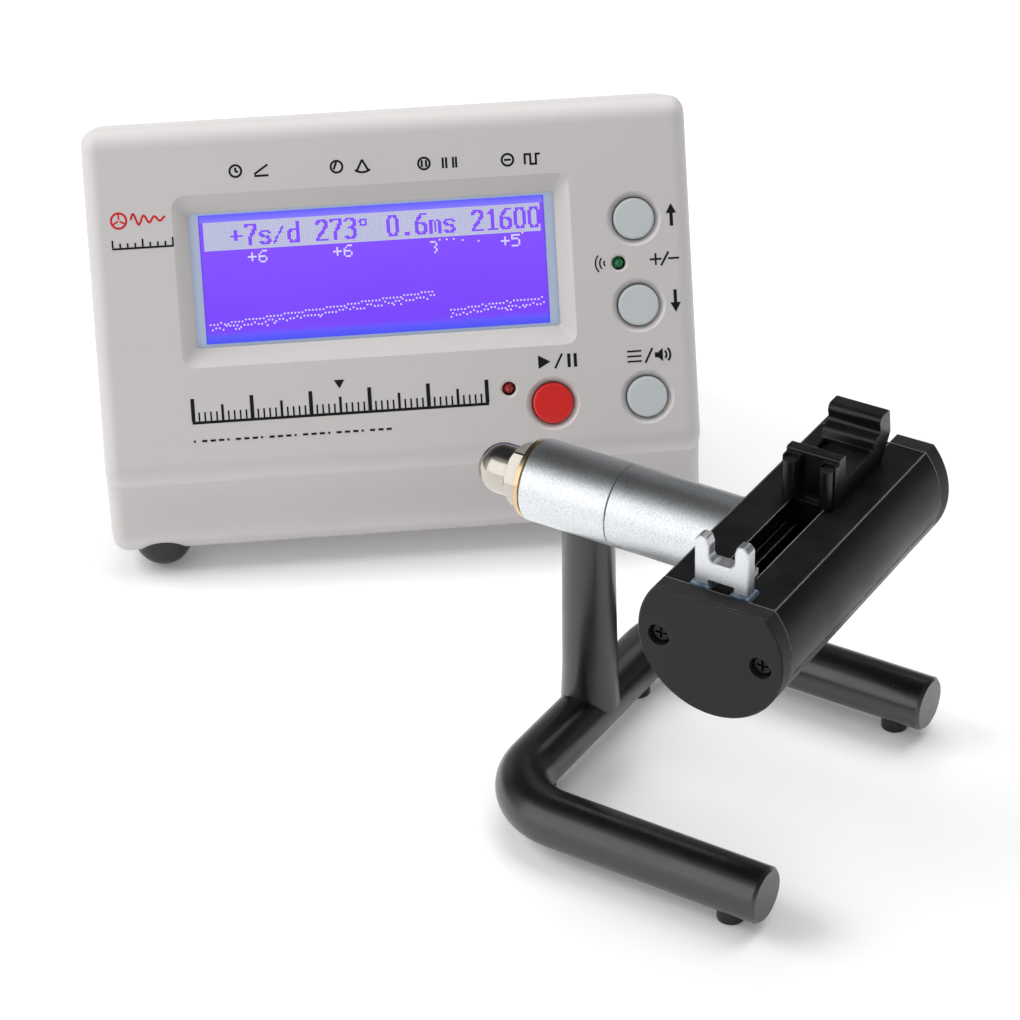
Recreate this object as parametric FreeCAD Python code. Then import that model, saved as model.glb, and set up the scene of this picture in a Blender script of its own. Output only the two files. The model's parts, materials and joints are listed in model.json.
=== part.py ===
import FreeCAD, Part
import math
import os

# Watch timegrapher: a sloping display unit and a separate microphone stand that holds the watch.
# Millimetres.  Row frame: X right along the display unit, Y to the back, Z up.
# Origin: centre of the footprint of the whole set, on the table.

V = FreeCAD.Vector
CLEAR = 0.05                       # gap between pieces that are pressed or screwed together

# ---------------------------------------------------------------- placement of the two devices
UNIT_AT = V(-25.58, 44.27, 0.0)        # row position of the panel lip's centre, on the table
STAND_FROM_UNIT = V(43.0, -93.0, 0.0)   # the stand's post, measured from the panel lip's centre
STAND_YAW = 37.0                   # the barrel points this far clockwise of the row's +X

# ---------------------------------------------------------------- display unit
UNIT_W = 172.0                     # width of the housing
WALL = 2.6                         # moulded wall thickness
PANEL_TILT = 25.0                  # front panel leans back from the vertical
LIP_Z = 38.0                       # height of the panel's lower edge
BOTTOM_Z = 6.0                     # underside of the housing
PEAK_Z = 125.2                     # corner between the panel and the top, before rounding
SIDE_ROUND = 4.5                   # rounding of the edges round both side faces

LCD_U, LCD_V = -5.0, 51.7          # centre of the display on the panel
LCD_W, LCD_H = 99.0, 36.9          # area that shows the picture
WINDOW_W, WINDOW_H = 104.5, 38.5   # opening at the bottom of the bezel recess
RIM_W, RIM_H = 111.0, 47.0         # bezel recess at the panel surface
RECESS = 4.0                       # depth of the bezel recess

CAP_R = 5.9                        # push button cap
BUTTON_TRAVEL = 1.0
BUTTONS = {"up_button": (69.6, 61.9), "down_button": (69.7, 37.1),
           "menu_button": (70.8, 10.6), "start_button": (43.5, 10.5)}
LEDS = {"signal_led": (64.6, 49.5), "run_led": (31.0, 15.5)}

FOOT_R = 8.6                       # ball foot
FRONT_FEET = [(-71.5, 10.0), (71.5, 10.0)]
REAR_FEET = [(-68.0, 74.0), (68.0, 74.0)]

# Rear wall: a flat that leans back, from its lowest point upward.
REAR_Y, REAR_Z = 67.0, 47.0
REAR_TOP_Y, REAR_TOP_Z = 81.5, 107.0

# ---------------------------------------------------------------- microphone stand
ROD_R = 7.5                        # bent rod of the base
ROD_Z = 10.5                       # height of the rod's axis
LEG_SPAN = 92.5                    # between the axes of the two legs
LEG_REACH = 78.0                   # from the back bar's axis to the ends of the legs
BEND_R = 17.0
AXIS_Z = 78.0                      # height of the barrel and of the head's axis
BARREL_R = 11.0
BARREL_BACK = -15.0                # outer end of the fixed barrel, along X from the post
BARREL_SPLIT = 11.0                # where the turning barrel starts
HEAD_X = 60.0                      # head's axis, along X from the post
HEAD_R = 19.75
HEAD_FLAT = 13.0                   # height of the head's flat above its axis
HEAD_FRONT = -44.7
HEAD_REAR = 46.8
CAP_FRONT = -40.0                  # joint between the front cap and the head body
CAP_REAR = 41.8
COVER_SPLIT = -4.7                 # joint between the head body and its lower cover
STUD_R = 4.0


# ================================================================ helpers
def box(x0, x1, y0, y1, z0, z1):
    return Part.makeBox(x1 - x0, y1 - y0, z1 - z0, V(x0, y0, z0))


def rod(radius, start, end):
    """Cylinder from one point to another."""
    axis = end - start
    return Part.makeCylinder(radius, axis.Length, start, axis)


def post_z(radius, x, y, z0, z1):
    return rod(radius, V(x, y, z0), V(x, y, z1))


def fuse(shapes):
    result = shapes[0]
    for shape in shapes[1:]:
        result = result.fuse(shape)
    return result.removeSplitter()


def cut(shape, tools):
    for tool in tools:
        shape = shape.cut(tool)
    return shape


def rounded_loop(points, to_3d):
    """Closed wire through corner points (a, b, radius), each corner rounded by its radius."""
    count = len(points)
    arcs = []
    for i, (a, b, radius) in enumerate(points):
        here = V(a, b, 0)
        back = V(points[i - 1][0], points[i - 1][1], 0) - here
        ahead = V(points[(i + 1) % count][0], points[(i + 1) % count][1], 0) - here
        back.normalize()
        ahead.normalize()
        half = back.getAngle(ahead) / 2
        middle = back + ahead
        middle.normalize()
        if radius == 0:
            arcs.append((here, None, here))
            continue
        reach = radius / math.tan(half)
        centre = here + middle * (radius / math.sin(half))
        arcs.append((here + back * reach, centre - middle * radius, here + ahead * reach))
    edges = []
    for i, (start, mid, end) in enumerate(arcs):
        if mid is not None:
            edges.append(Part.Arc(to_3d(start), to_3d(mid), to_3d(end)).toShape())
        following = arcs[(i + 1) % count][0]
        if (following - end).Length > 1e-6:
            edges.append(Part.LineSegment(to_3d(end), to_3d(following)).toShape())
    return Part.Wire(edges)


def prism_x(points, x0, x1):
    """Solid between two X planes from a side profile of (y, z, radius) corners."""
    wire = rounded_loop(points, lambda p: V(x0, p.x, p.y))
    return Part.Face(wire).extrude(V(x1 - x0, 0, 0))


def round_side_edges(solid, half_width, radius):
    """Round the edges that lie in the two end planes of a side-profile solid."""
    edges = []
    for edge in solid.Edges:
        bounds = edge.BoundBox
        if bounds.XLength < 1e-6 and abs(abs(bounds.XMin) - half_width) < 1e-6:
            edges.append(edge)
    return solid.makeFillet(radius, edges)


def inset(points, distance):
    """Corner points of a polygon whose sides have all moved inward by the same distance."""
    count = len(points)
    area = sum(points[i - 1][0] * points[i][1] - points[i][0] * points[i - 1][1] for i in range(count))
    side = 1 if area > 0 else -1
    lines = []
    for i in range(count):
        (a0, b0), (a1, b1) = points[i], points[(i + 1) % count]
        length = math.hypot(a1 - a0, b1 - b0)
        da, db = (a1 - a0) / length, (b1 - b0) / length
        lines.append((a0 - side * db * distance, b0 + side * da * distance, da, db))
    result = []
    for i in range(count):
        a0, b0, da0, db0 = lines[i - 1]
        a1, b1, da1, db1 = lines[i]
        step = ((a1 - a0) * db1 - (b1 - b0) * da1) / (da0 * db1 - db0 * da1)
        result.append((a0 + da0 * step, b0 + db0 * step))
    return result


def rounded_rectangle(width, height, radius, u, v, w):
    """Rounded rectangle wire centred on (u, v) at height w."""
    a, b = width / 2, height / 2
    corners = [(u + su * a, v + sv * b, radius) for su, sv in ((-1, -1), (1, -1), (1, 1), (-1, 1))]
    return rounded_loop(corners, lambda p: V(p.x, p.y, w))


def slab(width, height, radius, u, v, w0, w1):
    """Rounded rectangular plate between two heights."""
    wire = rounded_rectangle(width, height, radius, u, v, w0)
    return Part.Face(wire).extrude(V(0, 0, w1 - w0))


def on_panel(shape):
    """From panel coordinates (u right, v up the slope, w outward) to the unit's frame."""
    shape = shape.copy()
    shape.rotate(V(0, 0, 0), V(1, 0, 0), 90 - PANEL_TILT)
    shape.translate(V(0, 0, LIP_Z))
    return shape


def on_rear(shape):
    """From rear wall coordinates (x right, s up the slope, w inward) to the unit's frame."""
    angle = math.degrees(math.atan2(REAR_TOP_Z - REAR_Z, REAR_TOP_Y - REAR_Y))
    shape = shape.copy()
    shape.rotate(V(0, 0, 0), V(1, 0, 0), angle)
    shape.translate(V(0, REAR_Y, REAR_Z))
    return shape


def in_unit(shape):
    """From the unit's frame to the row frame."""
    shape = shape.copy()
    shape.translate(UNIT_AT)
    return shape


def in_stand(shape):
    """From the stand's frame (post at the origin, barrel along +X) to the row frame."""
    shape = shape.copy()
    shape.rotate(V(0, 0, 0), V(0, 0, 1), -STAND_YAW)
    shape.translate(STAND_FROM_UNIT + UNIT_AT)
    return shape


def in_head(shape):
    """From head coordinates (x across, y along the head, z above its axis) to the stand's frame."""
    shape = shape.copy()
    shape.translate(V(HEAD_X, 0, AXIS_Z))
    return shape


# ================================================================ display unit: shell
def panel_y(z):
    """Y of the front panel's plane at a height."""
    return (z - LIP_Z) * math.tan(math.radians(PANEL_TILT))


def outer_shape():
    """Outside of the housing: a leaning hood that overhangs a concave apron at the front."""
    half = UNIT_W / 2
    hood = [(panel_y(28.5), 28.5, 7.0), (panel_y(PEAK_Z), PEAK_Z, 6.0),
            (REAR_TOP_Y, REAR_TOP_Z, 5.0), (REAR_Y, REAR_Z, 14.0),
            (94.0, 16.5, 8.0), (93.5, BOTTOM_Z, 4.8), (34.0, BOTTOM_Z, 4.8), (34.0, 28.5, 6.0)]
    apron = [(1.0, 36.0, 4.8), (2.4, 25.0, 28.0), (-0.2, 13.5, 5.5), (5.0, BOTTOM_Z, 6.0),
             (60.0, BOTTOM_Z, 4.8), (60.0, 36.0, 4.8)]
    parts = []
    for profile in (hood, apron):
        parts.append(round_side_edges(prism_x(profile, -half, half), half, SIDE_ROUND))
    return fuse(parts)


def cavity_shape():
    """Hollow inside the housing."""
    outline = [(0.0, LIP_Z), (panel_y(PEAK_Z), PEAK_Z), (REAR_TOP_Y, REAR_TOP_Z), (REAR_Y, REAR_Z),
               (94.0, 16.5), (93.5, BOTTOM_Z), (6.5, BOTTOM_Z), (1.2, 13.5), (2.4, 25.0), (1.4, 31.0)]
    half = UNIT_W / 2 - WALL
    corners = [(a, b, 1.0) for a, b in inset(outline, WALL)]
    return prism_x(corners, -half, half)


BOARD_POSTS = [(LCD_U + su * 59.5, LCD_V + sv * 28.0) for su in (-1, 1) for sv in (-1, 1)]
KEY_POSTS = [(76.5, 24.0), (62.8, 24.0), (76.5, 49.5), (27.5, 6.5)]
PLATE_SCREWS = [(sx * 74.0, y) for sx in (-1, 1) for y in (31.0, 56.0)]
BOARD_STANDOFFS = [(sx * 54.0, y) for sx in (-1, 1) for y in (34.0, 60.0)]


def panel_bosses():
    """Ribs, button collars and screw posts moulded on the inside of the panel."""
    bosses = [slab(118.0, 52.0, 2.0, LCD_U, LCD_V, -WALL + 0.5, -9.0)]
    for u, v in BUTTONS.values():
        bosses.append(post_z(10.0, u, v, -4.9, -1.5))
    for u, v in BOARD_POSTS:
        bosses.append(post_z(3.0, u, v, -12.0, -1.5))
    for u, v in KEY_POSTS:
        bosses.append(post_z(2.6, u, v, -12.95, -1.5))
    return fuse(bosses)


def bezel_cut():
    """Sloping recess round the display, its small chamfer, the window opening and the window's seat."""
    chamfer = Part.makeLoft([rounded_rectangle(RIM_W + 3.0, RIM_H + 3.0, 3.9, LCD_U, LCD_V, 0.35),
                             rounded_rectangle(RIM_W, RIM_H, 2.6, LCD_U, LCD_V, -0.7)], True, True)
    slope = Part.makeLoft([rounded_rectangle(RIM_W, RIM_H, 2.6, LCD_U, LCD_V, -0.7),
                           rounded_rectangle(WINDOW_W, WINDOW_H, 1.0, LCD_U, LCD_V, -RECESS)], True, True)
    opening = slab(WINDOW_W, WINDOW_H, 1.0, LCD_U, LCD_V, -RECESS, -4.8)
    seat = slab(113.4, 47.4, 1.0, LCD_U, LCD_V, -4.8, -9.5)
    return [chamfer, slope, opening, seat]


def button_cuts():
    """Conical finger wells, button holes and the two lamp holes."""
    cuts = []
    for u, v in BUTTONS.values():
        cuts.append(Part.makeCone(6.3, 8.15, 2.1, V(u, v, -1.7), V(0, 0, 1)))
        cuts.append(post_z(6.15, u, v, -6.0, -1.3))
    for u, v in LEDS.values():
        cuts.append(post_z(2.0, u, v, -6.0, -0.4))
        cuts.append(Part.makeCone(1.9, 2.8, 0.95, V(u, v, -0.75), V(0, 0, 1)))
    return cuts


def screw_post_cuts():
    cuts = []
    for u, v in BOARD_POSTS:
        cuts.append(post_z(1.27, u, v, -14.0, -6.5))
    for u, v in KEY_POSTS:
        cuts.append(post_z(1.27, u, v, -14.0, -7.5))
    return cuts


def foot_socket(x, y, peg_top):
    ball = Part.makeSphere(FOOT_R + CLEAR, V(x, y, 8.3))
    ball = ball.common(box(x - 10, x + 10, y - 10, y + 10, -1, 12.9 + CLEAR))
    return fuse([ball, post_z(2.5 + CLEAR, x, y, 12.0, peg_top + CLEAR)])


def ball_foot(x, y, peg_top):
    """Rubber ball foot, flat where it stands, with a peg pressed into the housing."""
    ball = Part.makeSphere(FOOT_R, V(x, y, 8.3))
    ball = ball.common(box(x - 10, x + 10, y - 10, y + 10, 0, 12.9))
    return fuse([ball, post_z(2.5, x, y, 12.0, peg_top)])


JACK_X, DC_X, SWITCH_X, PORT_S = -30.0, -54.0, 50.0, 20.0


def rear_cuts():
    """Holes for the supply jack, the microphone jack and the power switch."""
    holes = [post_z(5.6, DC_X, PORT_S, -1, WALL + 1), post_z(3.05, JACK_X, PORT_S, -1, WALL + 1),
             box(SWITCH_X - 9.7, SWITCH_X + 9.7, PORT_S - 6.4, PORT_S + 6.4, -1, WALL + 1)]
    return [on_rear(hole) for hole in holes]


def make_housing():
    outer = outer_shape()
    opening = slab(160.6, 66.6, 3.0, 0.0, 53.0, 4.0, 9.0)
    shell = cut(outer, [cavity_shape(), opening])
    adds = [on_panel(panel_bosses())]
    for x, y in FRONT_FEET:
        adds.append(post_z(11.0, x, y, 4.0, 19.5))
    for x, y in PLATE_SCREWS:
        inner, wall_x = (70.5, 84.5) if x > 0 else (-84.5, -70.5)
        adds.append(box(inner, wall_x, y - 4, y + 4, 8.5, 22.0))
    shell = fuse([shell] + [add.common(outer) for add in adds])
    cuts = [on_panel(tool) for tool in bezel_cut() + button_cuts() + screw_post_cuts()]
    cuts += rear_cuts()
    cuts.append(slab(160.6, 66.6, 3.0, 0.0, 53.0, 4.0, 8.45))
    for x, y in FRONT_FEET:
        cuts.append(foot_socket(x, y, 17.5))
    for x, y in PLATE_SCREWS:
        cuts.append(post_z(1.5 + CLEAR, x, y, 8.0, 19.0))
    return cut(shell, cuts).removeSplitter()


def make_base_plate():
    plate = [slab(160.0, 66.0, 2.7, 0.0, 53.0, BOTTOM_Z, 8.4)]
    for x, y in REAR_FEET:
        plate.append(post_z(11.0, x, y, 7.0, 17.0))
    for x, y in BOARD_STANDOFFS:
        plate.append(post_z(3.0, x, y, 7.0, 20.0))
    cuts = []
    for x, y in REAR_FEET:
        cuts.append(foot_socket(x, y, 15.5))
    for x, y in PLATE_SCREWS:
        cuts.append(Part.makeCone(3.1, 1.6, 1.7, V(x, y, BOTTOM_Z), V(0, 0, 1)))
        cuts.append(post_z(1.6, x, y, 5.0, 9.0))
    for x, y in BOARD_STANDOFFS:
        cuts.append(post_z(1.25 + CLEAR, x, y, 11.5, 21.0))
    return cut(fuse(plate), cuts)


def cross_slot(x, y, z0, z1, length, width):
    """Cross-shaped driver recess."""
    return fuse([box(x - length / 2, x + length / 2, y - width / 2, y + width / 2, z0, z1),
                 box(x - width / 2, x + width / 2, y - length / 2, y + length / 2, z0, z1)])


def make_plate_screws():
    screws = []
    for x, y in PLATE_SCREWS:
        head = Part.makeCone(3.0, 1.5, 1.6, V(x, y, BOTTOM_Z), V(0, 0, 1))
        screw = fuse([head, post_z(1.5, x, y, 7.0, 18.0)])
        screws.append(screw.cut(cross_slot(x, y, 5.0, 7.0, 3.2, 0.7)))
    return Part.makeCompound(screws)


# ================================================================ display unit: display and keys
def make_lcd_window():
    return on_panel(slab(113.0, 47.0, 0.9, LCD_U, LCD_V, -6.05, -4.85))


def make_lcd_frame():
    frame = slab(113.0, 47.0, 0.9, LCD_U, LCD_V, -6.10, -9.0)
    hollow = slab(111.4, 45.4, 0.5, LCD_U, LCD_V, -6.7, -10.0)
    sight = slab(LCD_W, LCD_H, 0.3, LCD_U, LCD_V, -5.0, -8.0)
    return on_panel(cut(frame, [hollow, sight]))


def make_lcd_glass():
    return on_panel(slab(110.8, 44.8, 0.4, LCD_U, LCD_V, -6.8, -8.6))


def make_lcd_backlight():
    return on_panel(slab(110.4, 44.4, 0.4, LCD_U, LCD_V, -8.7, -11.9))


def make_lcd_board():
    board = slab(125.0, 62.0, 1.5, LCD_U, LCD_V, -12.05, -13.65)
    holes = [post_z(1.4, u, v, -15.0, -11.0) for u, v in BOARD_POSTS]
    return on_panel(cut(board, holes))


def make_lcd_drivers():
    chips = []
    for u in (-40.0, -5.0, 30.0):
        chips.append(slab(14.0, 14.0, 0.6, LCD_U + u + 5.0, LCD_V + 8.0, -13.7, -15.2))
    chips.append(slab(26.0, 5.0, 0.4, LCD_U, LCD_V - 24.0, -13.7, -19.5))
    return on_panel(Part.makeCompound(chips))


def make_button(u, v):
    """Push button cap with its retaining flange and the stem that reaches the switch."""
    cap = post_z(CAP_R, u, v, -5.4, -0.3)
    top = [edge for edge in cap.Edges if edge.BoundBox.ZMin > -0.4]
    cap = cap.makeFillet(0.8, top)
    return on_panel(fuse([cap, post_z(6.9, u, v, -6.1, -5.0), post_z(2.4, u, v, -7.3, -6.0)]))


def make_led(u, v):
    """Round lamp with a domed end, a base flange and two legs."""
    body = fuse([Part.makeSphere(1.5, V(u, v, -2.1)), post_z(1.5, u, v, -9.0, -2.1),
                 post_z(1.9, u, v, -9.2, -8.2)])
    legs = [post_z(0.25, u + side * 1.27, v, -13.0, -9.1) for side in (-1, 1)]
    return on_panel(fuse([body] + legs))


def make_button_board():
    board = fuse([box(58.6, 80.0, 2.5, 72.0, -14.6, -13.0), box(23.5, 60.0, 2.5, 19.0, -14.6, -13.0)])
    holes = [post_z(1.4, u, v, -16.0, -12.0) for u, v in KEY_POSTS]
    return on_panel(cut(board, holes))


def make_tact_switches():
    switches = []
    for u, v in BUTTONS.values():
        body = box(u - 3, u + 3, v - 3, v + 3, -12.95, -9.6)
        switches.append(fuse([body, post_z(1.7, u, v, -9.7, -8.4)]))
    return on_panel(Part.makeCompound(switches))


def panel_screw(u, v, board_back):
    """Pan-head screw driven from inside through a circuit board into a post."""
    screw = fuse([post_z(1.25, u, v, board_back - 0.5, board_back + 6.0),
                  post_z(2.3, u, v, board_back - 1.8, board_back - CLEAR)])
    return screw.cut(cross_slot(u, v, board_back - 2.5, board_back - 0.9, 2.6, 0.6))


def make_board_screws():
    screws = [on_panel(panel_screw(u, v, -13.65)) for u, v in BOARD_POSTS]
    screws += [on_panel(panel_screw(u, v, -14.6)) for u, v in KEY_POSTS]
    for x, y in BOARD_STANDOFFS:
        screw = fuse([post_z(1.25, x, y, 13.0, 22.0), post_z(2.3, x, y, 21.75, 23.5)])
        screws.append(screw.cut(cross_slot(x, y, 22.6, 24.0, 2.6, 0.6)))
    return Part.makeCompound(screws)


# ================================================================ display unit: electronics and ports
BOARD_TOP = 21.7


def make_main_board():
    board = slab(120.0, 37.0, 1.5, 0.0, 47.5, 20.1, BOARD_TOP)
    holes = [post_z(1.4, x, y, 19.0, 23.0) for x, y in BOARD_STANDOFFS]
    return cut(board, holes)


def make_main_chips():
    """Processor, signal amplifier, voltage regulator and crystal on the main board."""
    chips = [slab(14.0, 14.0, 0.8, -5.0, 48.0, BOARD_TOP + CLEAR, BOARD_TOP + 1.5),
             slab(5.0, 9.0, 0.3, -17.5, 50.0, BOARD_TOP + CLEAR, BOARD_TOP + 1.8),
             slab(10.2, 4.6, 0.3, -42.0, 40.0, BOARD_TOP + CLEAR, BOARD_TOP + 14.0),
             slab(11.0, 4.6, 2.2, -4.0, 35.5, BOARD_TOP + CLEAR, BOARD_TOP + 3.6)]
    return Part.makeCompound(chips)


def make_capacitors():
    spots = [(-28.0, 38.0, 4.0, 11.0), (-28.0, 56.0, 5.0, 12.5), (38.0, 36.0, 3.2, 7.0)]
    cans = [post_z(r, x, y, BOARD_TOP + CLEAR, BOARD_TOP + h) for x, y, r, h in spots]
    return Part.makeCompound(cans)


def make_buzzer():
    can = post_z(6.0, 38.0, 54.0, BOARD_TOP + CLEAR, BOARD_TOP + 9.5)
    return can.cut(post_z(1.0, 38.0, 54.0, BOARD_TOP + 7.5, BOARD_TOP + 10.0))


def make_ribbon_cable():
    """Flat cable from the main board up to the display board."""
    points = [(42.0, 22.3), (43.5, 22.3), (43.5, 47.0), (38.0, 53.0), (30.0, 53.0), (30.0, 52.2),
              (37.7, 52.2), (42.7, 46.7), (42.7, 23.1), (42.0, 23.1)]
    strip = prism_x([(y, z, 0) for y, z in points], 10.0, 30.0)
    plug = box(8.5, 31.5, 40.0, 46.0, BOARD_TOP + CLEAR, BOARD_TOP + 6.5)
    return fuse([strip, plug])


def make_dc_jack():
    """Supply jack: flanged sleeve through the wall, contact pin inside."""
    body = fuse([post_z(6.4, DC_X, PORT_S, -1.3, -CLEAR), post_z(5.5, DC_X, PORT_S, -1.0, 4.0),
                 box(DC_X - 6.5, DC_X + 6.5, PORT_S - 6.0, PORT_S + 6.0, WALL + 0.2, 13.0)])
    body = body.cut(post_z(3.2, DC_X, PORT_S, -2.0, 10.0))
    return on_rear(fuse([body, post_z(1.05, DC_X, PORT_S, 0.3, 11.0)]))


def make_mic_jack():
    """Microphone jack with a threaded collar."""
    body = fuse([post_z(3.0, JACK_X, PORT_S, -3.4, 4.0),
                 box(JACK_X - 4.5, JACK_X + 4.5, PORT_S - 4.5, PORT_S + 4.5, WALL + 0.2, 14.0)])
    return on_rear(body.cut(post_z(1.8, JACK_X, PORT_S, -4.0, 12.0)))


def make_jack_nut():
    ring = post_z(4.6, JACK_X, PORT_S, -2.2, -CLEAR).cut(post_z(3.0 + CLEAR, JACK_X, PORT_S, -3.0, 1.0))
    notches = []
    for side in (-1, 1):
        x = JACK_X + side * 4.2
        notches.append(box(x - 0.5, x + 0.5, PORT_S - 0.5, PORT_S + 0.5, -3, -1.2))
    return on_rear(cut(ring, notches))


ROCKER_PIVOT_W = 1.5               # rocker's pivot line, this far inside the rear wall
ROCKER_TILT = 10.0                 # the rocker rests tilted this far to its ON side


def make_switch_body():
    x, s = SWITCH_X, PORT_S
    body = fuse([slab(22.0, 15.5, 1.2, x, s, -1.7, -CLEAR),
                 box(x - 9.55, x + 9.55, s - 6.25, s + 6.25, -0.5, 14.0)])
    well = box(x - 8.4, x + 8.4, s - 4.9, s + 4.9, -2.0, 7.5)
    pivot = rod(1.0 + CLEAR, V(x, s - 5.7, ROCKER_PIVOT_W), V(x, s + 5.7, ROCKER_PIVOT_W))
    tabs = [box(tab_x - 1.5, tab_x + 1.5, s - 0.4, s + 0.4, 13.5, 19.0) for tab_x in (x - 6, x, x + 6)]
    return on_rear(fuse([cut(body, [well, pivot])] + tabs))


def make_power_rocker():
    x, s = SWITCH_X, PORT_S
    corners = [(-7.3, -3.4, 0.8), (0.0, -1.7, 6.0), (7.3, -3.4, 0.8), (7.0, 1.5, 0.8), (3.0, 4.5, 1.0),
               (-3.0, 4.5, 1.0), (-7.0, 1.5, 0.8)]
    wire = rounded_loop(corners, lambda p: V(x + p.x, s - 4.7, p.y))
    rocker = Part.Face(wire).extrude(V(0, 9.4, 0))
    pins = rod(1.0, V(x, s - 5.6, ROCKER_PIVOT_W), V(x, s + 5.6, ROCKER_PIVOT_W))
    rocker = fuse([rocker, pins])
    rocker.rotate(V(x, s, ROCKER_PIVOT_W), V(0, 1, 0), ROCKER_TILT)
    return on_rear(rocker)


# ================================================================ microphone stand: base, post and barrel
def make_stand_base():
    """One bent steel rod: back bar, two bends and two legs."""
    half = LEG_SPAN / 2
    parts = [rod(ROD_R, V(0, -half + BEND_R, ROD_Z), V(0, half - BEND_R, ROD_Z))]
    for side in (-1, 1):
        leg = rod(ROD_R, V(BEND_R, side * half, ROD_Z), V(LEG_REACH, side * half, ROD_Z))
        end = [edge for edge in leg.Edges if edge.BoundBox.XMin > LEG_REACH - 0.1]
        parts.append(leg.makeChamfer(0.8, end))
        ring = Part.Wire([Part.Circle(V(0, side * (half - BEND_R), ROD_Z), V(0, 1, 0), ROD_R).toShape()])
        centre = V(BEND_R, side * (half - BEND_R), ROD_Z)
        parts.append(Part.Face(ring).revolve(centre, V(0, 0, -side), 90))
    base = fuse(parts)
    return cut(base, [post_z(1.8 + CLEAR, x, y, 0, 8.3) for x, y, _ in stand_foot_spots()])


def stand_foot_spots():
    """Foot centres, and whether the rod above runs along X."""
    spots = []
    for side in (-1, 1):
        spots.append((LEG_REACH - 10.0, side * LEG_SPAN / 2, True))
        spots.append((0.0, side * 25.0, False))
    return spots


def make_stand_feet():
    feet = []
    for x, y, along_x in stand_foot_spots():
        pad = post_z(3.6, x, y, 0, 4.6)
        step = V(10, 0, 0) if along_x else V(0, 10, 0)
        middle = V(x, y, ROD_Z)
        pad = pad.cut(rod(ROD_R + 0.02, middle - step, middle + step))
        feet.append(fuse([pad, post_z(1.8, x, y, 0, 8.0)]))
    return Part.makeCompound(feet)


def make_post():
    """Tapered post: saddle cut onto the back bar, saddle and spigot under the barrel."""
    foot = ROD_Z + 2.1
    outline = [V(0, 0, foot), V(8.0, 0, foot), V(7.45, 0, 24.0), V(6.8, 0, 73.0), V(0, 0, 73.0)]
    profile = Part.Face(Part.makePolygon(outline + [outline[0]]))
    body = profile.revolve(V(0, 0, 0), V(0, 0, 1), 360)
    body = body.cut(rod(ROD_R + 0.02, V(0, -20, ROD_Z), V(0, 20, ROD_Z)))
    body = body.cut(rod(BARREL_R + 0.02, V(-20, 0, AXIS_Z), V(20, 0, AXIS_Z)))
    return fuse([body, post_z(3.5, 0, 0, 60.0, 72.5)])


def make_fixed_barrel():
    barrel = rod(BARREL_R, V(BARREL_BACK, 0, AXIS_Z), V(BARREL_SPLIT, 0, AXIS_Z))
    rims = [edge for edge in barrel.Edges if edge.BoundBox.XLength < 1e-6]
    outer_rim = [edge for edge in rims if edge.BoundBox.XMax < 0]
    barrel = barrel.makeChamfer(0.8, outer_rim)
    joint_rim = [edge for edge in barrel.Edges if edge.BoundBox.XMin > BARREL_SPLIT - 0.01]
    barrel = barrel.makeChamfer(0.2, joint_rim)
    return cut(barrel, [rod(STUD_R + 0.08, V(-20, 0, AXIS_Z), V(20, 0, AXIS_Z)),
                        rod(8.0, V(BARREL_SPLIT - 0.8, 0, AXIS_Z), V(20, 0, AXIS_Z)),
                        post_z(3.5 + CLEAR, 0, 0, 60.0, 72.6)])


def make_rotating_barrel():
    start = BARREL_SPLIT + 0.12
    barrel = rod(BARREL_R, V(start, 0, AXIS_Z), V(50.0, 0, AXIS_Z))
    rim = [edge for edge in barrel.Edges if edge.BoundBox.XMax < start + 0.01]
    barrel = barrel.makeChamfer(0.2, rim)
    head = in_head(rod(HEAD_R + 0.02, V(0, HEAD_FRONT, 0), V(0, HEAD_REAR, 0)))
    return cut(barrel, [head, rod(STUD_R + CLEAR, V(0, 0, AXIS_Z), V(60, 0, AXIS_Z))])


def make_pivot_stud():
    return rod(STUD_R, V(-22.5, 0, AXIS_Z), V(54.0, 0, AXIS_Z))


def make_friction_washer():
    ring = rod(7.8, V(BARREL_SPLIT - 0.76, 0, AXIS_Z), V(BARREL_SPLIT + 0.07, 0, AXIS_Z))
    return ring.cut(rod(STUD_R + 0.08, V(0, 0, AXIS_Z), V(20, 0, AXIS_Z)))


def make_brass_washer():
    ring = rod(10.5, V(BARREL_BACK - 1.25, 0, AXIS_Z), V(BARREL_BACK - 0.03, 0, AXIS_Z))
    return ring.cut(rod(STUD_R + 0.08, V(-30, 0, AXIS_Z), V(0, 0, AXIS_Z)))


NUT_FLATS, NUT_HEX = 15.0, 4.6      # acorn nut: across its flats, length of its hexagon
NUT_LENGTH, DOME_R = 15.8, 6.8
NUT_TURN = -20.0                   # a flat of the tightened nut faces forward and up


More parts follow.
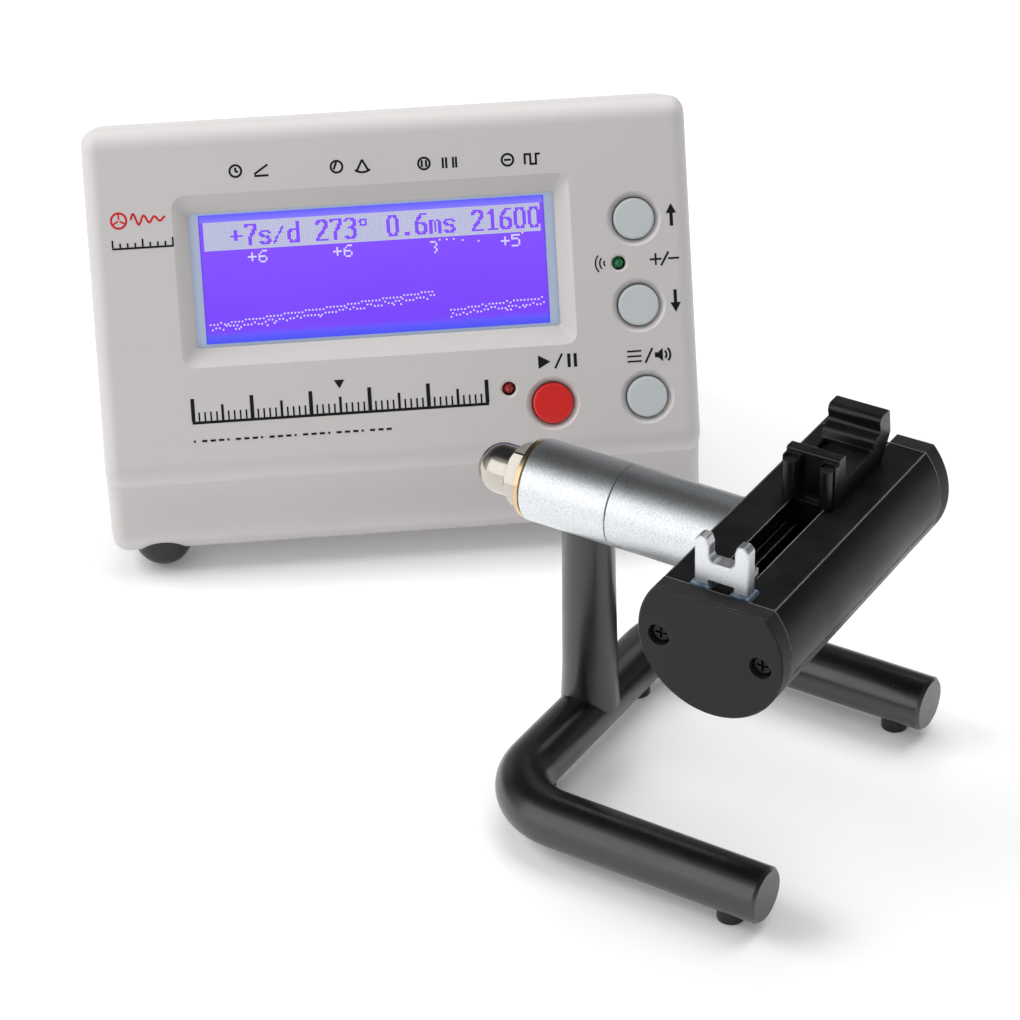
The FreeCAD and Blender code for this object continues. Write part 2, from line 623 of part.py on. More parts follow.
def make_acorn_nut():
    """Domed nut: a chamfered hexagon and a polished cap."""
    start = BARREL_BACK - 1.30
    corner = NUT_FLATS / 2 / math.cos(math.radians(30))
    points = []
    for i in range(6):
        turn = math.radians(60 * i + NUT_TURN)
        points.append(V(start, corner * math.sin(turn), AXIS_Z + corner * math.cos(turn)))
    hexagon = Part.Face(Part.makePolygon(points + [points[0]])).extrude(V(-NUT_HEX, 0, 0))
    bounds = rod(corner - 0.15, V(start, 0, AXIS_Z), V(start - NUT_HEX, 0, AXIS_Z))
    bounds = bounds.makeChamfer(0.7, [edge for edge in bounds.Edges if edge.BoundBox.XLength < 1e-6])
    middle = V(start - NUT_LENGTH + DOME_R, 0, AXIS_Z)
    neck = rod(DOME_R, V(start - NUT_HEX + 0.3, 0, AXIS_Z), middle)
    dome = fuse([neck, Part.makeSphere(DOME_R, middle)])
    dome = dome.common(box(start - 20, start - NUT_HEX + 0.3, -10, 10, AXIS_Z - 10, AXIS_Z + 10))
    bore = rod(STUD_R + 0.02, V(-23.0, 0, AXIS_Z), V(0, 0, AXIS_Z))
    return fuse([hexagon.common(bounds), dome]).cut(bore)


# ================================================================ microphone stand: head
JAW_X, JAW_Y0, JAW_Y1 = 7.25, -39.2, -35.7    # fixed jaw: half width, front face, rear face
LEG_IN, LEG_OUT = 3.5, 7.25                   # fixed jaw's legs across the head
SLOT_HALF = 4.6                               # slot for the sliding jaw
SLOT_FRONT = -30.0
ROD_AT = 2.5                                  # height of the guide rod above the head's axis
GUIDE_R = 1.5
SCREW_X, SCREW_Z = 13.8, -1.0                 # end cap screws


def d_bar(radius, y0, y1):
    """Length of the head's section: a round bar with its top cut flat."""
    bar = rod(radius, V(0, y0, 0), V(0, y1, 0))
    return bar.common(box(-30, 30, y0 - 1, y1 + 1, -30, HEAD_FLAT))


def slot_cuts(y0, y1):
    """T-slot of the sliding jaw and the groove of its spring."""
    return [box(-SLOT_HALF, SLOT_HALF, y0, y1, 9.4, HEAD_FLAT + 1), box(-6.2, 6.2, y0, y1, 5.5, 9.5),
            box(-3.3, 3.3, y0, y1, -0.7, 5.6)]


def cap_screw_holes(y0, y1):
    spots = (-SCREW_X, SCREW_X)
    return [rod(1.5 + CLEAR, V(x, y0, SCREW_Z), V(x, y1, SCREW_Z)) for x in spots]


def make_head_body():
    body = d_bar(HEAD_R, CAP_FRONT, CAP_REAR).common(box(-30, 30, -60, 60, COVER_SPLIT + 0.03, 30))
    cuts = [box(-9.5, 9.5, CAP_FRONT - 1, -33.5, -8.0, 9.5)] + slot_cuts(SLOT_FRONT, 60.0)
    for side in (-1, 1):
        middle = side * (LEG_IN + LEG_OUT) / 2
        cuts.append(box(middle - 2.65, middle + 2.65, JAW_Y0 - 0.75, JAW_Y1 + 0.75, 9.0, 20.0))
    cuts += cap_screw_holes(-60.0, -27.0) + cap_screw_holes(30.0, 60.0)
    cuts.append(rod(GUIDE_R + CLEAR, V(0, SLOT_FRONT - 2.6, ROD_AT), V(0, 0, ROD_AT)))
    cuts.append(rod(STUD_R + CLEAR, V(-30, 0, 0), V(-5.8, 0, 0)))
    body = cut(body, cuts)
    for y in (-25.0, 25.0):
        body = fuse([body, post_z(3.4, 0, y, -13.0, -4.0)]).cut(post_z(1.5 + CLEAR, 0, y, -20.0, -8.0))
    return in_head(body)


def cover_groove():
    """Narrow step round the cover's upper edge, which shows as a dark line along the head."""
    outer = rod(HEAD_R + 1.0, V(0, CAP_FRONT - 1, 0), V(0, CAP_REAR + 1, 0))
    band = outer.cut(rod(HEAD_R - 0.6, V(0, CAP_FRONT - 2, 0), V(0, CAP_REAR + 2, 0)))
    return band.common(box(-30, 30, -60, 60, COVER_SPLIT - 0.45, COVER_SPLIT + 1.0))


def make_head_cover():
    """Lower cover: a trough that closes the head's hollow."""
    cover = d_bar(HEAD_R, CAP_FRONT, CAP_REAR).common(box(-30, 30, -60, 60, -30, COVER_SPLIT - 0.03))
    cover = cover.cut(rod(16.75, V(0, CAP_FRONT + 3.5, 0), V(0, CAP_REAR - 3.0, 0)))
    cover = cut(cover, [box(-4.8, 4.8, 30.0, 60.0, -16.0, -5.0), cover_groove()])
    adds = [post_z(3.4, 0, y, -18.0, -13.1) for y in (-25.0, 25.0)]
    adds += [box(-12.0, 12.0, y - 1.5, y + 1.5, -17.5, -11.5) for y in (-15.0, 15.0)]
    inside = rod(17.5, V(0, -60, 0), V(0, 60, 0))
    cover = fuse([cover] + [add.common(inside) for add in adds])
    for y in (-25.0, 25.0):
        cover = cut(cover, [post_z(1.5 + CLEAR, 0, y, -20.0, -10.0), post_z(2.8, 0, y, -22.0, -18.0)])
    return in_head(cover)


def edges_at_y(solid, y):
    """Edges that lie in the plane across the head at y."""
    return [e for e in solid.Edges if e.BoundBox.YLength < 1e-6 and abs(e.BoundBox.YMin - y) < 1e-6]


def make_end_cap(y0, y1, outer_y):
    """End cap of the head with two counterbored screw holes."""
    cap = d_bar(HEAD_R, y0, y1)
    cap = cap.makeChamfer(0.5, edges_at_y(cap, outer_y))
    depth = 3.2 if outer_y < 0 else -3.2
    sinks = []
    for x in (-SCREW_X, SCREW_X):
        sinks.append(rod(2.95, V(x, outer_y, SCREW_Z), V(x, outer_y + depth, SCREW_Z)))
    return cut(cap, sinks + cap_screw_holes(-60.0, 60.0))


def make_front_cap():
    return in_head(make_end_cap(HEAD_FRONT, CAP_FRONT - 0.03, HEAD_FRONT))


HEAD_JACK_Z = -11.0


def make_rear_cap():
    cap = make_end_cap(CAP_REAR + 0.03, HEAD_REAR, HEAD_REAR)
    cuts = [box(-SLOT_HALF, SLOT_HALF, 40.0, 50.0, 9.6, 20.0),
            rod(GUIDE_R + CLEAR, V(0, 40.0, ROD_AT), V(0, 44.6, ROD_AT)),
            rod(3.0 + CLEAR, V(0, 40.0, HEAD_JACK_Z), V(0, 50.0, HEAD_JACK_Z))]
    return in_head(cut(cap, cuts))


def cap_screw(side, outer_y):
    """Pan-head screw in an end cap, driver cross outward."""
    inward = 1 if outer_y < 0 else -1
    x = side * SCREW_X
    seat = outer_y + inward * 3.2
    top = seat - inward * 2.0
    head = rod(2.75, V(x, top, SCREW_Z), V(x, seat - inward * CLEAR, SCREW_Z))
    head = head.makeFillet(0.7, edges_at_y(head, top))
    shank = rod(1.5, V(x, seat - inward * 1.0, SCREW_Z), V(x, seat + inward * 9.0, SCREW_Z))
    y0, y1 = sorted((seat - inward * 3.0, seat - inward * 1.0))
    cross = [box(x - 1.6, x + 1.6, y0, y1, SCREW_Z - 0.35, SCREW_Z + 0.35),
             box(x - 0.35, x + 0.35, y0, y1, SCREW_Z - 1.6, SCREW_Z + 1.6)]
    return cut(fuse([head, shank]), cross)


def make_cap_screws():
    screws = [cap_screw(side, outer) for outer in (HEAD_FRONT, HEAD_REAR) for side in (-1, 1)]
    return in_head(Part.makeCompound(screws))


def make_cover_screws():
    screws = []
    for y in (-25.0, 25.0):
        screw = fuse([post_z(2.6, 0, y, -19.4, -18.05), post_z(1.5, 0, y, -19.0, -9.0)])
        screws.append(screw.cut(cross_slot(0, y, -20.0, -18.7, 3.0, 0.7)))
    return in_head(Part.makeCompound(screws))


def make_fixed_jaw():
    """Metal jaw: two horns round a U notch, on two legs joined by a bar inside the head."""
    half = [(JAW_X, -1.0, 0.5), (JAW_X, 25.7, 1.0), (6.1, 27.0, 0.9), (4.1, 26.8, 0.7),
            (3.4, 24.7, 0.6), (3.4, 20.2, 2.0)]
    corners = half + [(-x, z, radius) for x, z, radius in reversed(half)]
    wire = rounded_loop(corners, lambda p: V(p.x, JAW_Y0, p.y))
    plate = Part.Face(wire).extrude(V(0, JAW_Y1 - JAW_Y0, 0))
    window = box(-LEG_IN, LEG_IN, JAW_Y0 - 1, JAW_Y1 + 1, 6.0, 15.3)
    ledge = box(-JAW_X, JAW_X, JAW_Y1 - 0.5, JAW_Y1 + 1.6, 17.6, 19.4)
    top = [edge for edge in plate.Edges if edge.BoundBox.YLength < 1e-6 and edge.BoundBox.ZMin > 16]
    plate = plate.makeChamfer(0.35, top)
    return in_head(fuse([plate.cut(window), ledge]))


def make_jaw_isolators():
    """Two soft sleeves that keep the fixed jaw clear of the head."""
    sleeves = []
    for side in (-1, 1):
        middle = side * (LEG_IN + LEG_OUT) / 2
        outer = box(middle - 2.6, middle + 2.6, JAW_Y0 - 0.7, JAW_Y1 + 0.7, 9.7, 13.9)
        outer = outer.makeFillet(0.6, [edge for edge in outer.Edges if edge.BoundBox.ZMin > 13.8])
        inner = box(middle - 1.95, middle + 1.95, JAW_Y0 - CLEAR, JAW_Y1 + CLEAR, 9.0, 15.0)
        sleeves.append(outer.cut(inner))
    return in_head(Part.makeCompound(sleeves))


def make_piezo_sensor():
    disc = rod(5.6, V(0, JAW_Y1 + CLEAR, 3.0), V(0, JAW_Y1 + 0.5, 3.0))
    ceramic = rod(4.2, V(0, JAW_Y1 + 0.4, 3.0), V(0, JAW_Y1 + 0.8, 3.0))
    return in_head(fuse([disc, ceramic]))


def make_preamp_board():
    board = box(-11.5, 11.5, -20.0, 20.0, -11.4, -10.2)
    parts = [box(-3.0, 3.0, -6.0, -1.0, -10.3, -8.6), box(4.0, 8.0, 4.0, 6.5, -10.3, -9.2),
             post_z(2.5, -7.0, 10.0, -10.3, -7.0)]
    return in_head(fuse([board] + parts))


def make_head_jack():
    jack = fuse([rod(3.0, V(0, 41.0, HEAD_JACK_Z), V(0, 47.6, HEAD_JACK_Z)),
                 box(-4.5, 4.5, 30.4, 41.6, HEAD_JACK_Z - 4.5, HEAD_JACK_Z + 4.5)])
    return in_head(jack.cut(rod(1.8, V(0, 33.0, HEAD_JACK_Z), V(0, 50.0, HEAD_JACK_Z))))


def make_guide_rod():
    return in_head(rod(GUIDE_R, V(0, SLOT_FRONT - 2.5, ROD_AT), V(0, 44.5, ROD_AT)))


LUG_Y0, LUG_Y1 = 12.0, 18.0
PAD_X, PAD_Y, PAD_R = 5.0, 5.5, 1.8


def make_sliding_jaw():
    """Moulded jaw: front wall with two lobes, low middle, and a thumb rest at the back."""
    front_wall = [(7.6, 13.15, 0), (7.6, 26.5, 0.6), (11.0, 26.5, 0.8), (11.6, 18.8, 1.5)]
    thumb_rest = [(26.6, 18.8, 0.8), (27.4, 22.2, 1.7), (30.8, 21.9, 1.2), (29.4, 27.0, 1.6),
                  (35.2, 27.0, 0.8), (36.2, 20.0, 1.5), (31.5, 13.15, 0)]
    parts = [prism_x(front_wall + thumb_rest, -7.3, 7.3)]
    for side in (-1, 1):
        low, high = sorted((side * 2.9, side * 7.3))
        parts.append(box(low, high, 5.5, 7.8, 13.15, 25.2))
    parts.append(box(-SLOT_HALF + 0.2, SLOT_HALF - 0.2, 6.0, 31.0, 9.2, 13.2))
    parts.append(box(-6.0, 6.0, 6.0, 31.0, 5.7, 9.3))
    parts.append(box(-2.9, 2.9, LUG_Y0, LUG_Y1, 0.0, 5.8))
    jaw = fuse(parts)
    cuts = [box(-6.3, 6.3, 11.8, 26.6, 17.4, 20.0), rod(GUIDE_R + 0.08, V(0, 0, ROD_AT), V(0, 30, ROD_AT))]
    for side in (-1, 1):
        cuts.append(post_z(PAD_R + CLEAR, side * PAD_X, PAD_Y, 13.9, 27.0))
    return in_head(cut(jaw, cuts))


def make_jaw_pads():
    """Two soft pins in the front of the sliding jaw."""
    pads = [post_z(PAD_R, side * PAD_X, PAD_Y, 13.95, 24.6) for side in (-1, 1)]
    return in_head(Part.makeCompound(pads))


def make_jaw_spring():
    """Spring round the guide rod that pushes the sliding jaw forward."""
    start, end, coil, wire = LUG_Y1 + 0.5, CAP_REAR - 0.5, 2.35, 0.3
    turns = 15
    path = Part.makeHelix((end - start) / turns, end - start, coil)
    ring = Part.Wire([Part.Circle(V(coil, 0, 0), V(0, 1, 0), wire).toShape()])
    spring = Part.Wire(path.Edges).makePipeShell([ring], True, True)
    spring.rotate(V(0, 0, 0), V(1, 0, 0), -90)
    spring.translate(V(0, start, ROD_AT))
    return in_head(spring)


# ================================================================ all nodes
def unit_nodes():
    nodes = {
        "housing": make_housing(),
        "base_plate": make_base_plate(),
        "plate_screws": make_plate_screws(),
        "unit_feet": Part.makeCompound([ball_foot(x, y, 17.5) for x, y in FRONT_FEET]
                                       + [ball_foot(x, y, 15.5) for x, y in REAR_FEET]),
        "lcd_window": make_lcd_window(),
        "lcd_frame": make_lcd_frame(),
        "lcd_glass": make_lcd_glass(),
        "lcd_backlight": make_lcd_backlight(),
        "lcd_board": make_lcd_board(),
        "lcd_drivers": make_lcd_drivers(),
        "button_board": make_button_board(),
        "tact_switches": make_tact_switches(),
        "board_screws": make_board_screws(),
        "main_board": make_main_board(),
        "main_chips": make_main_chips(),
        "capacitors": make_capacitors(),
        "buzzer": make_buzzer(),
        "ribbon_cable": make_ribbon_cable(),
        "dc_jack": make_dc_jack(),
        "mic_jack": make_mic_jack(),
        "jack_nut": make_jack_nut(),
        "switch_body": make_switch_body(),
        "power_rocker": make_power_rocker(),
    }
    for name, (u, v) in BUTTONS.items():
        nodes[name] = make_button(u, v)
    for name, (u, v) in LEDS.items():
        nodes[name] = make_led(u, v)
    return nodes


def stand_nodes():
    return {
        "stand_base": make_stand_base(),
        "stand_feet": make_stand_feet(),
        "post": make_post(),
        "fixed_barrel": make_fixed_barrel(),
        "rotating_barrel": make_rotating_barrel(),
        "pivot_stud": make_pivot_stud(),
        "friction_washer": make_friction_washer(),
        "brass_washer": make_brass_washer(),
        "acorn_nut": make_acorn_nut(),
        "head_body": make_head_body(),
        "head_cover": make_head_cover(),
        "front_cap": make_front_cap(),
        "rear_cap": make_rear_cap(),
        "cap_screws": make_cap_screws(),
        "cover_screws": make_cover_screws(),
        "fixed_jaw": make_fixed_jaw(),
        "jaw_isolators": make_jaw_isolators(),
        "piezo_sensor": make_piezo_sensor(),
        "preamp_board": make_preamp_board(),
        "head_jack": make_head_jack(),
        "guide_rod": make_guide_rod(),
        "sliding_jaw": make_sliding_jaw(),
        "jaw_pads": make_jaw_pads(),
        "jaw_spring": make_jaw_spring(),
    }


os.makedirs("parts", exist_ok=True)
overall = FreeCAD.BoundBox()
for place, nodes in ((in_unit, unit_nodes()), (in_stand, stand_nodes())):
    for name, shape in nodes.items():
        placed = place(shape)
        placed.exportStep("parts/" + name + ".step")
        overall.add(placed.BoundBox)
        facts = (name, len(placed.Solids), placed.isValid(), placed.Volume)
        print("%-16s solids %2d  valid %s  volume %9.1f mm3" % facts)
print("overall", overall)
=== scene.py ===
import json
import math
import random

import bpy
from mathutils import Matrix, Vector


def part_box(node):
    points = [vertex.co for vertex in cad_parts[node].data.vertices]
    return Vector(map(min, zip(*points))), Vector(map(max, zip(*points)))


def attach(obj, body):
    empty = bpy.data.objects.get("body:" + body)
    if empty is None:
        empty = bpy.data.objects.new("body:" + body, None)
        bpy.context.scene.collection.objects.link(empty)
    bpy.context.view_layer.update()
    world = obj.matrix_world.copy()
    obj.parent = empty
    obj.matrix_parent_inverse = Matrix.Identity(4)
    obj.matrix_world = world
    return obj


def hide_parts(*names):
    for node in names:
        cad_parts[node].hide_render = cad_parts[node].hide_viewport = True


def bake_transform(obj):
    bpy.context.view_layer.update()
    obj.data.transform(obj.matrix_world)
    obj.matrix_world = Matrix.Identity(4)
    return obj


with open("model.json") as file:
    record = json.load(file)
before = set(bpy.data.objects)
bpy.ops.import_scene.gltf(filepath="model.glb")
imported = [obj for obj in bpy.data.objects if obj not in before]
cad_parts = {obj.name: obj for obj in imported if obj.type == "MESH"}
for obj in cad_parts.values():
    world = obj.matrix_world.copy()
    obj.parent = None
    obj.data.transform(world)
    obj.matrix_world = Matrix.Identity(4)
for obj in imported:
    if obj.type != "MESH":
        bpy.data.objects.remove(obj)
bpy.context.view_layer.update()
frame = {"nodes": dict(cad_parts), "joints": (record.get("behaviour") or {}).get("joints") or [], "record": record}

MM = 0.001
DOT = 0.508                                      # dot pitch of the display, mm
JOINTS = {joint["name"]: joint for joint in frame["joints"]}
rng = random.Random(11)


# ---------------------------------------------------------------- places on the object
def centre(node):
    low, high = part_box(node)
    return (low + high) / 2


RIGHT = Vector((1.0, 0.0, 0.0))
OUT = -Vector(JOINTS["up_press"]["axis"])        # out of the front panel
UP = OUT.cross(RIGHT)                            # up the front panel's slope
LCD_U, LCD_V = -5.0, 51.7                        # display's centre on the panel, from the lip's centre
WINDOW_DEPTH = 5.45                              # display window's middle, below the panel's face
PANEL = centre("lcd_window") - (RIGHT * LCD_U + UP * LCD_V - OUT * WINDOW_DEPTH) * MM


def on_panel(u, v, w=0.0):
    """Point on the front panel, in mm from the lip's centre: right, up the slope, outward."""
    return PANEL + (RIGHT * u + UP * v + OUT * w) * MM


def linear(red, green, blue):
    """Linear colour from 0-255 display values."""
    values = []
    for value in (red, green, blue):
        value /= 255.0
        values.append(value / 12.92 if value <= 0.04045 else ((value + 0.055) / 1.055) ** 2.4)
    return (*values, 1.0)


def scaled(color, factor):
    return tuple(min(1.0, part * factor) for part in color[:3]) + (1.0,)


# ---------------------------------------------------------------- material building
GLOW_AROUND = 0.15                               # share of the display's light that reaches other surfaces


def add_node(tree, kind, values, settings):
    """New node: values go to its inputs, as links or as fixed values, and settings to its own properties."""
    node = tree.nodes.new(kind)
    for key, value in settings.items():
        setattr(node, key, value)
    for key, value in values.items():
        if isinstance(value, bpy.types.NodeSocket):
            tree.links.new(value, node.inputs[key])
        else:
            node.inputs[key].default_value = value
    return node


class Look:
    """One material's node tree, with short ways to add nodes."""

    def __init__(self, name):
        self.material = bpy.data.materials.new(name)
        self.material.use_nodes = True
        self.tree = self.material.node_tree
        self.tree.nodes.clear()
        self.output = self.add("ShaderNodeOutputMaterial")
        coordinates = self.add("ShaderNodeTexCoord")
        self.where = coordinates.outputs["Object"]
        self.own_normal = coordinates.outputs["Normal"]
        self.normal = self.add("ShaderNodeNewGeometry").outputs["Normal"]

    def add(self, kind, values=None, **settings):
        return add_node(self.tree, kind, values or {}, settings)

    def noise(self, size, detail=3.0, stretch=None, shift=0.0):
        """Noise with features about size mm across; stretch scales the pattern along X, Y, Z."""
        vector = self.where
        if stretch or shift:
            values = {"Vector": vector, "Scale": stretch or (1, 1, 1), "Location": (shift, shift, shift)}
            vector = self.add("ShaderNodeMapping", values).outputs[0]
        values = {"Vector": vector, "Scale": 1000.0 / size, "Detail": detail}
        return self.add("ShaderNodeTexNoise", values).outputs["Fac"]

    def fit(self, value, low, high, to_low=0.0, to_high=1.0):
        values = {"Value": value, "From Min": low, "From Max": high, "To Min": to_low, "To Max": to_high}
        return self.add("ShaderNodeMapRange", values).outputs["Result"]

    def math(self, operation, a, b=0.0):
        return self.add("ShaderNodeMath", {0: a, 1: b}, operation=operation).outputs[0]

    def mix(self, share, a, b):
        node = self.add("ShaderNodeMix", {0: share, 6: a, 7: b}, data_type="RGBA")
        return node.outputs[2]

    def dot(self, a, b):
        return self.add("ShaderNodeVectorMath", {0: a, 1: b}, operation="DOT_PRODUCT").outputs["Value"]

    def along(self, point, direction):
        """Distance in mm from a point, measured along a direction."""
        away = self.add("ShaderNodeVectorMath", {0: self.where, 1: point}, operation="SUBTRACT").outputs[0]
        return self.dot(away, Vector(direction) / MM)

    def bump(self, height, depth, normal=None):
        """Surface relief: height 0 to 1 stands for depth mm."""
        values = {"Height": height, "Distance": depth * MM, "Strength": 1.0}
        if normal is not None:
            values["Normal"] = normal
        return self.add("ShaderNodeBump", values).outputs["Normal"]

    def rounded(self, radius):
        return self.add("ShaderNodeBevel", {"Radius": radius * MM}, samples=4).outputs["Normal"]

    def crevice(self, reach):
        """1 deep in a corner, 0 in the open."""
        values = {"Distance": reach * MM}
        open_share = self.add("ShaderNodeAmbientOcclusion", values, samples=4).outputs["AO"]
        return self.fit(open_share, 0.35, 0.95, 1.0, 0.0)

    def glow(self, strength):
        """Full strength seen from the camera, little on the surfaces around."""
        seen = self.add("ShaderNodeLightPath").outputs["Is Camera Ray"]
        return self.fit(seen, 0.0, 1.0, strength * GLOW_AROUND, strength)

    def surface(self, values):
        shader = self.add("ShaderNodeBsdfPrincipled", values)
        self.tree.links.new(shader.outputs[0], self.output.inputs["Surface"])
        return self.material


def finish(name, color, rough, metallic=0.0, mottle=0.08, patch=28.0, grain=0.3, depth=0.006, speckle=0.05,
           smear=0.07, edge=0.2, wear_and_highlight=None, painted_edge_highlight=0.0, grime=0.25, dust=0.05, scratch=0.0, extra=None,
           tint=None):
    """A coated, moulded or machined surface.

    mottle: slow colour change over patches of patch mm; grain and depth: size and height of the fine relief
    in mm; speckle: colour change from grain to grain; smear: change of roughness; edge: rounding in mm that
    corners catch the light with; wear_and_highlight: colour that shows at the corners, in worn chips and, by
    painted_edge_highlight's share, as a painted highlight all along upper edges; grime: painted
    shade that darkens corners; dust: pale film on faces that look up;
    scratch: strength of fine hairlines; extra: more shader inputs; tint: a function that builds the
    base colour."""
    look = Look(name)
    base = tint(look) if tint else None
    plain = base if base is not None else color
    slow = look.fit(look.noise(patch, 4.0), 0.3, 0.7)
    tone = look.mix(look.math("MULTIPLY", slow, mottle), plain, scaled(color, 0.55))
    fine = look.noise(grain, 2.0)
    tone = look.mix(look.fit(fine, 0.52, 0.75, 0.0, speckle), tone, scaled(color, 1.5))
    tone = look.mix(look.fit(fine, 0.48, 0.25, 0.0, speckle), tone, scaled(color, 0.45))
    # painted shade: the colour is darkened towards a deep tone in corners and hollows, by the ambient-occlusion
    # mask
    tone = look.mix(look.math("MULTIPLY", look.crevice(3.5), grime), tone, scaled(color, 0.35))
    upward = look.fit(look.dot(look.normal, Vector((0, 0, 1))), 0.6, 1.0)
    film = look.math("MULTIPLY", upward, look.fit(look.noise(9.0, 5.0, shift=0.3), 0.4, 0.75, 0.0, dust))
    tone = look.mix(film, tone, (0.62, 0.60, 0.57, 1.0))
    soft = look.rounded(edge)
    corner = look.fit(look.dot(soft, look.normal), 0.985, 0.90)
    if wear_and_highlight:
        # painted highlight: the edge-band share draws the corner colour all along upward-facing edges, standing in
        # for the light they catch; the noise-masked chips are worn corners
        upper = look.fit(look.dot(look.own_normal, Vector((0, 0, 1))), 0.1, 0.4)
        line = look.math("MULTIPLY", upper, painted_edge_highlight)
        chips = look.fit(look.noise(2.2, 5.0, shift=0.7), 0.42, 0.62)
        chips_and_highlight = look.math("MULTIPLY", corner, look.math("MAXIMUM", chips, line))
        tone = look.mix(chips_and_highlight, tone, wear_and_highlight)
    roughness = look.math("ADD", look.fit(look.noise(14.0, 5.0, shift=0.9), 0.3, 0.7, -smear, smear), rough)
    roughness = look.math("ADD", roughness, look.math("MULTIPLY", film, 0.6))
    normal = look.bump(fine, depth, soft)
    normal = look.bump(look.noise(5.0, 2.0, shift=1.3), depth * 1.5, normal)
    if scratch:
        hairs = look.fit(look.noise(1.1, 2.0, stretch=(1.0, 0.05, 0.3), shift=2.1), 0.66, 0.72, 0.0, scratch)
        normal = look.bump(hairs, -0.01, normal)
        roughness = look.math("ADD", roughness, look.math("MULTIPLY", hairs, 0.15))
    values = {"Base Color": tone, "Roughness": roughness, "Metallic": metallic, "Normal": normal}
    values.update(extra or {})
    return look.surface(values)


def flow_lines(look, color):
    """Faint darker clouds of moulded plastic, stretched along X."""
    cloud = look.fit(look.noise(22.0, 4.0, stretch=(0.4, 1.0, 1.0), shift=4.0), 0.4, 0.7, 0.0, 0.05)
    return look.mix(cloud, color, scaled(color, 0.7))


def housing_look():
    color = linear(206, 202, 201)
    return finish("housing_plastic", color, 0.46, mottle=0.05, patch=60.0, grain=0.34, depth=0.010,
                  speckle=0.035, smear=0.05, edge=0.35, grime=0.10, dust=0.04,
                  tint=lambda look: flow_lines(look, color))


def metal_look(name, color, rough, grain=0.22, depth=0.004, speckle=0.2, **more):
    return finish(name, color, rough, metallic=1.0, grain=grain, depth=depth, speckle=speckle, mottle=0.1,
                  dust=0.02, **more)


def rod_look():
    """Glossy powder coat of the bent rod and its post."""
    gloss = {"Specular IOR Level": 0.85, "Coat Weight": 0.16, "Coat Roughness": 0.14}
    return finish("stand_black", linear(8, 8, 9), 0.31, grain=0.55, depth=0.010, speckle=0.05, smear=0.05,
                  edge=0.3, wear_and_highlight=linear(60, 60, 62), dust=0.006, extra=gloss)


def window_look():
    """Thin clear plastic: straight through, with a soft reflection and faint wiping marks."""
    look = Look("window_clear")
    marks = look.noise(7.0, 6.0, stretch=(0.5, 1.0, 1.6))
    rough = look.fit(marks, 0.35, 0.75, 0.03, 0.16)
    normal = look.bump(look.noise(30.0, 1.0), 0.02)
    sheen = look.add("ShaderNodeBsdfGlossy", {"Roughness": rough, "Normal": normal})
    clear = look.add("ShaderNodeBsdfTransparent", {"Color": (0.96, 0.97, 1.0, 1.0)})
    share = look.add("ShaderNodeFresnel", {"IOR": 1.22, "Normal": normal}).outputs[0]
    share = look.math("ADD", share, look.fit(marks, 0.55, 0.8, 0.0, 0.012))
    both = look.add("ShaderNodeMixShader", {0: share, 1: clear.outputs[0], 2: sheen.outputs[0]})
    look.tree.links.new(both.outputs[0], look.output.inputs["Surface"])
    return look.material


def lcd_look():
    """Lit display: violet dot field between two bluer strips, with the dots' faint grid.

    The field is 97.5 by 32.5 mm; the strips lie above and below it, and a bluer rim at its two sides."""
    look = Look("lcd_blue")
    middle = on_panel(LCD_U, LCD_V)
    u, v = look.along(middle, RIGHT), look.along(middle, UP)
    field = look.mix(look.fit(v, -14.0, 10.0), linear(122, 58, 250), linear(134, 72, 255))
    drift = look.fit(look.noise(38.0, 2.0), 0.35, 0.65, 0.0, 0.10)
    field = look.mix(drift, field, linear(150, 92, 255))
    top = look.mix(look.fit(v, 16.4, 18.4), linear(138, 124, 255), linear(92, 92, 255))
    bottom = look.mix(look.fit(v, -18.4, -15.2), linear(64, 78, 244), linear(104, 92, 255))
    color = look.mix(look.fit(v, 16.22, 16.34), field, top)
    color = look.mix(look.fit(v, -15.0, -16.6), color, bottom)
    lines = None
    for across in (u, v):
        cell = look.math("FRACT", look.math("DIVIDE", across, DOT))
        step = look.math("ABSOLUTE", look.math("SUBTRACT", cell, 0.5))
        step = look.fit(step, 0.40, 0.48, 0.0, 0.16)
        lines = step if lines is None else look.math("MAXIMUM", lines, step)
    color = look.mix(lines, color, linear(96, 60, 235))
    rim = look.fit(look.math("ABSOLUTE", u), 48.9, 49.4, 0.0, 0.55)
    color = look.mix(rim, color, linear(56, 60, 215))
    return look.surface({"Base Color": (0.02, 0.01, 0.06, 1), "Roughness": 0.35, "Emission Color": color,
                         "Emission Strength": look.glow(0.98), "Normal": look.bump(look.noise(0.5), 0.002)})


def lit_dot_look(name, color, strength):
    look = Look(name)
    tone = look.mix(look.fit(look.noise(24.0, 3.0), 0.35, 0.65, 0.0, 0.35), color, scaled(color, 0.88))
    tone = look.mix(look.fit(look.noise(0.6, 1.0), 0.4, 0.6, 0.0, 0.18), tone, scaled(color, 0.8))
    return look.surface({"Base Color": scaled(color, 0.1), "Roughness": 0.5, "Emission Color": tone,
                         "Emission Strength": look.glow(strength)})


def lamp_look(name, body, glint):
    """Tinted lamp: clear dome with painted glints, a bright speckle, inside."""
    look = Look(name)
    # painted glints: bright speckle mixed into the colour and into its faint glow
    spark = look.fit(look.noise(0.55, 2.0), 0.55, 0.7)
    tone = look.mix(spark, body, glint)
    rough = look.fit(look.noise(0.8, 2.0, shift=1.0), 0.3, 0.7, 0.05, 0.2)
    return look.surface({"Base Color": tone, "Roughness": rough, "Transmission Weight": 0.35, "IOR": 1.5,
                         "Coat Weight": 0.6, "Emission Color": tone, "Emission Strength": 0.12,
                         "Normal": look.bump(look.noise(1.2), 0.02)})


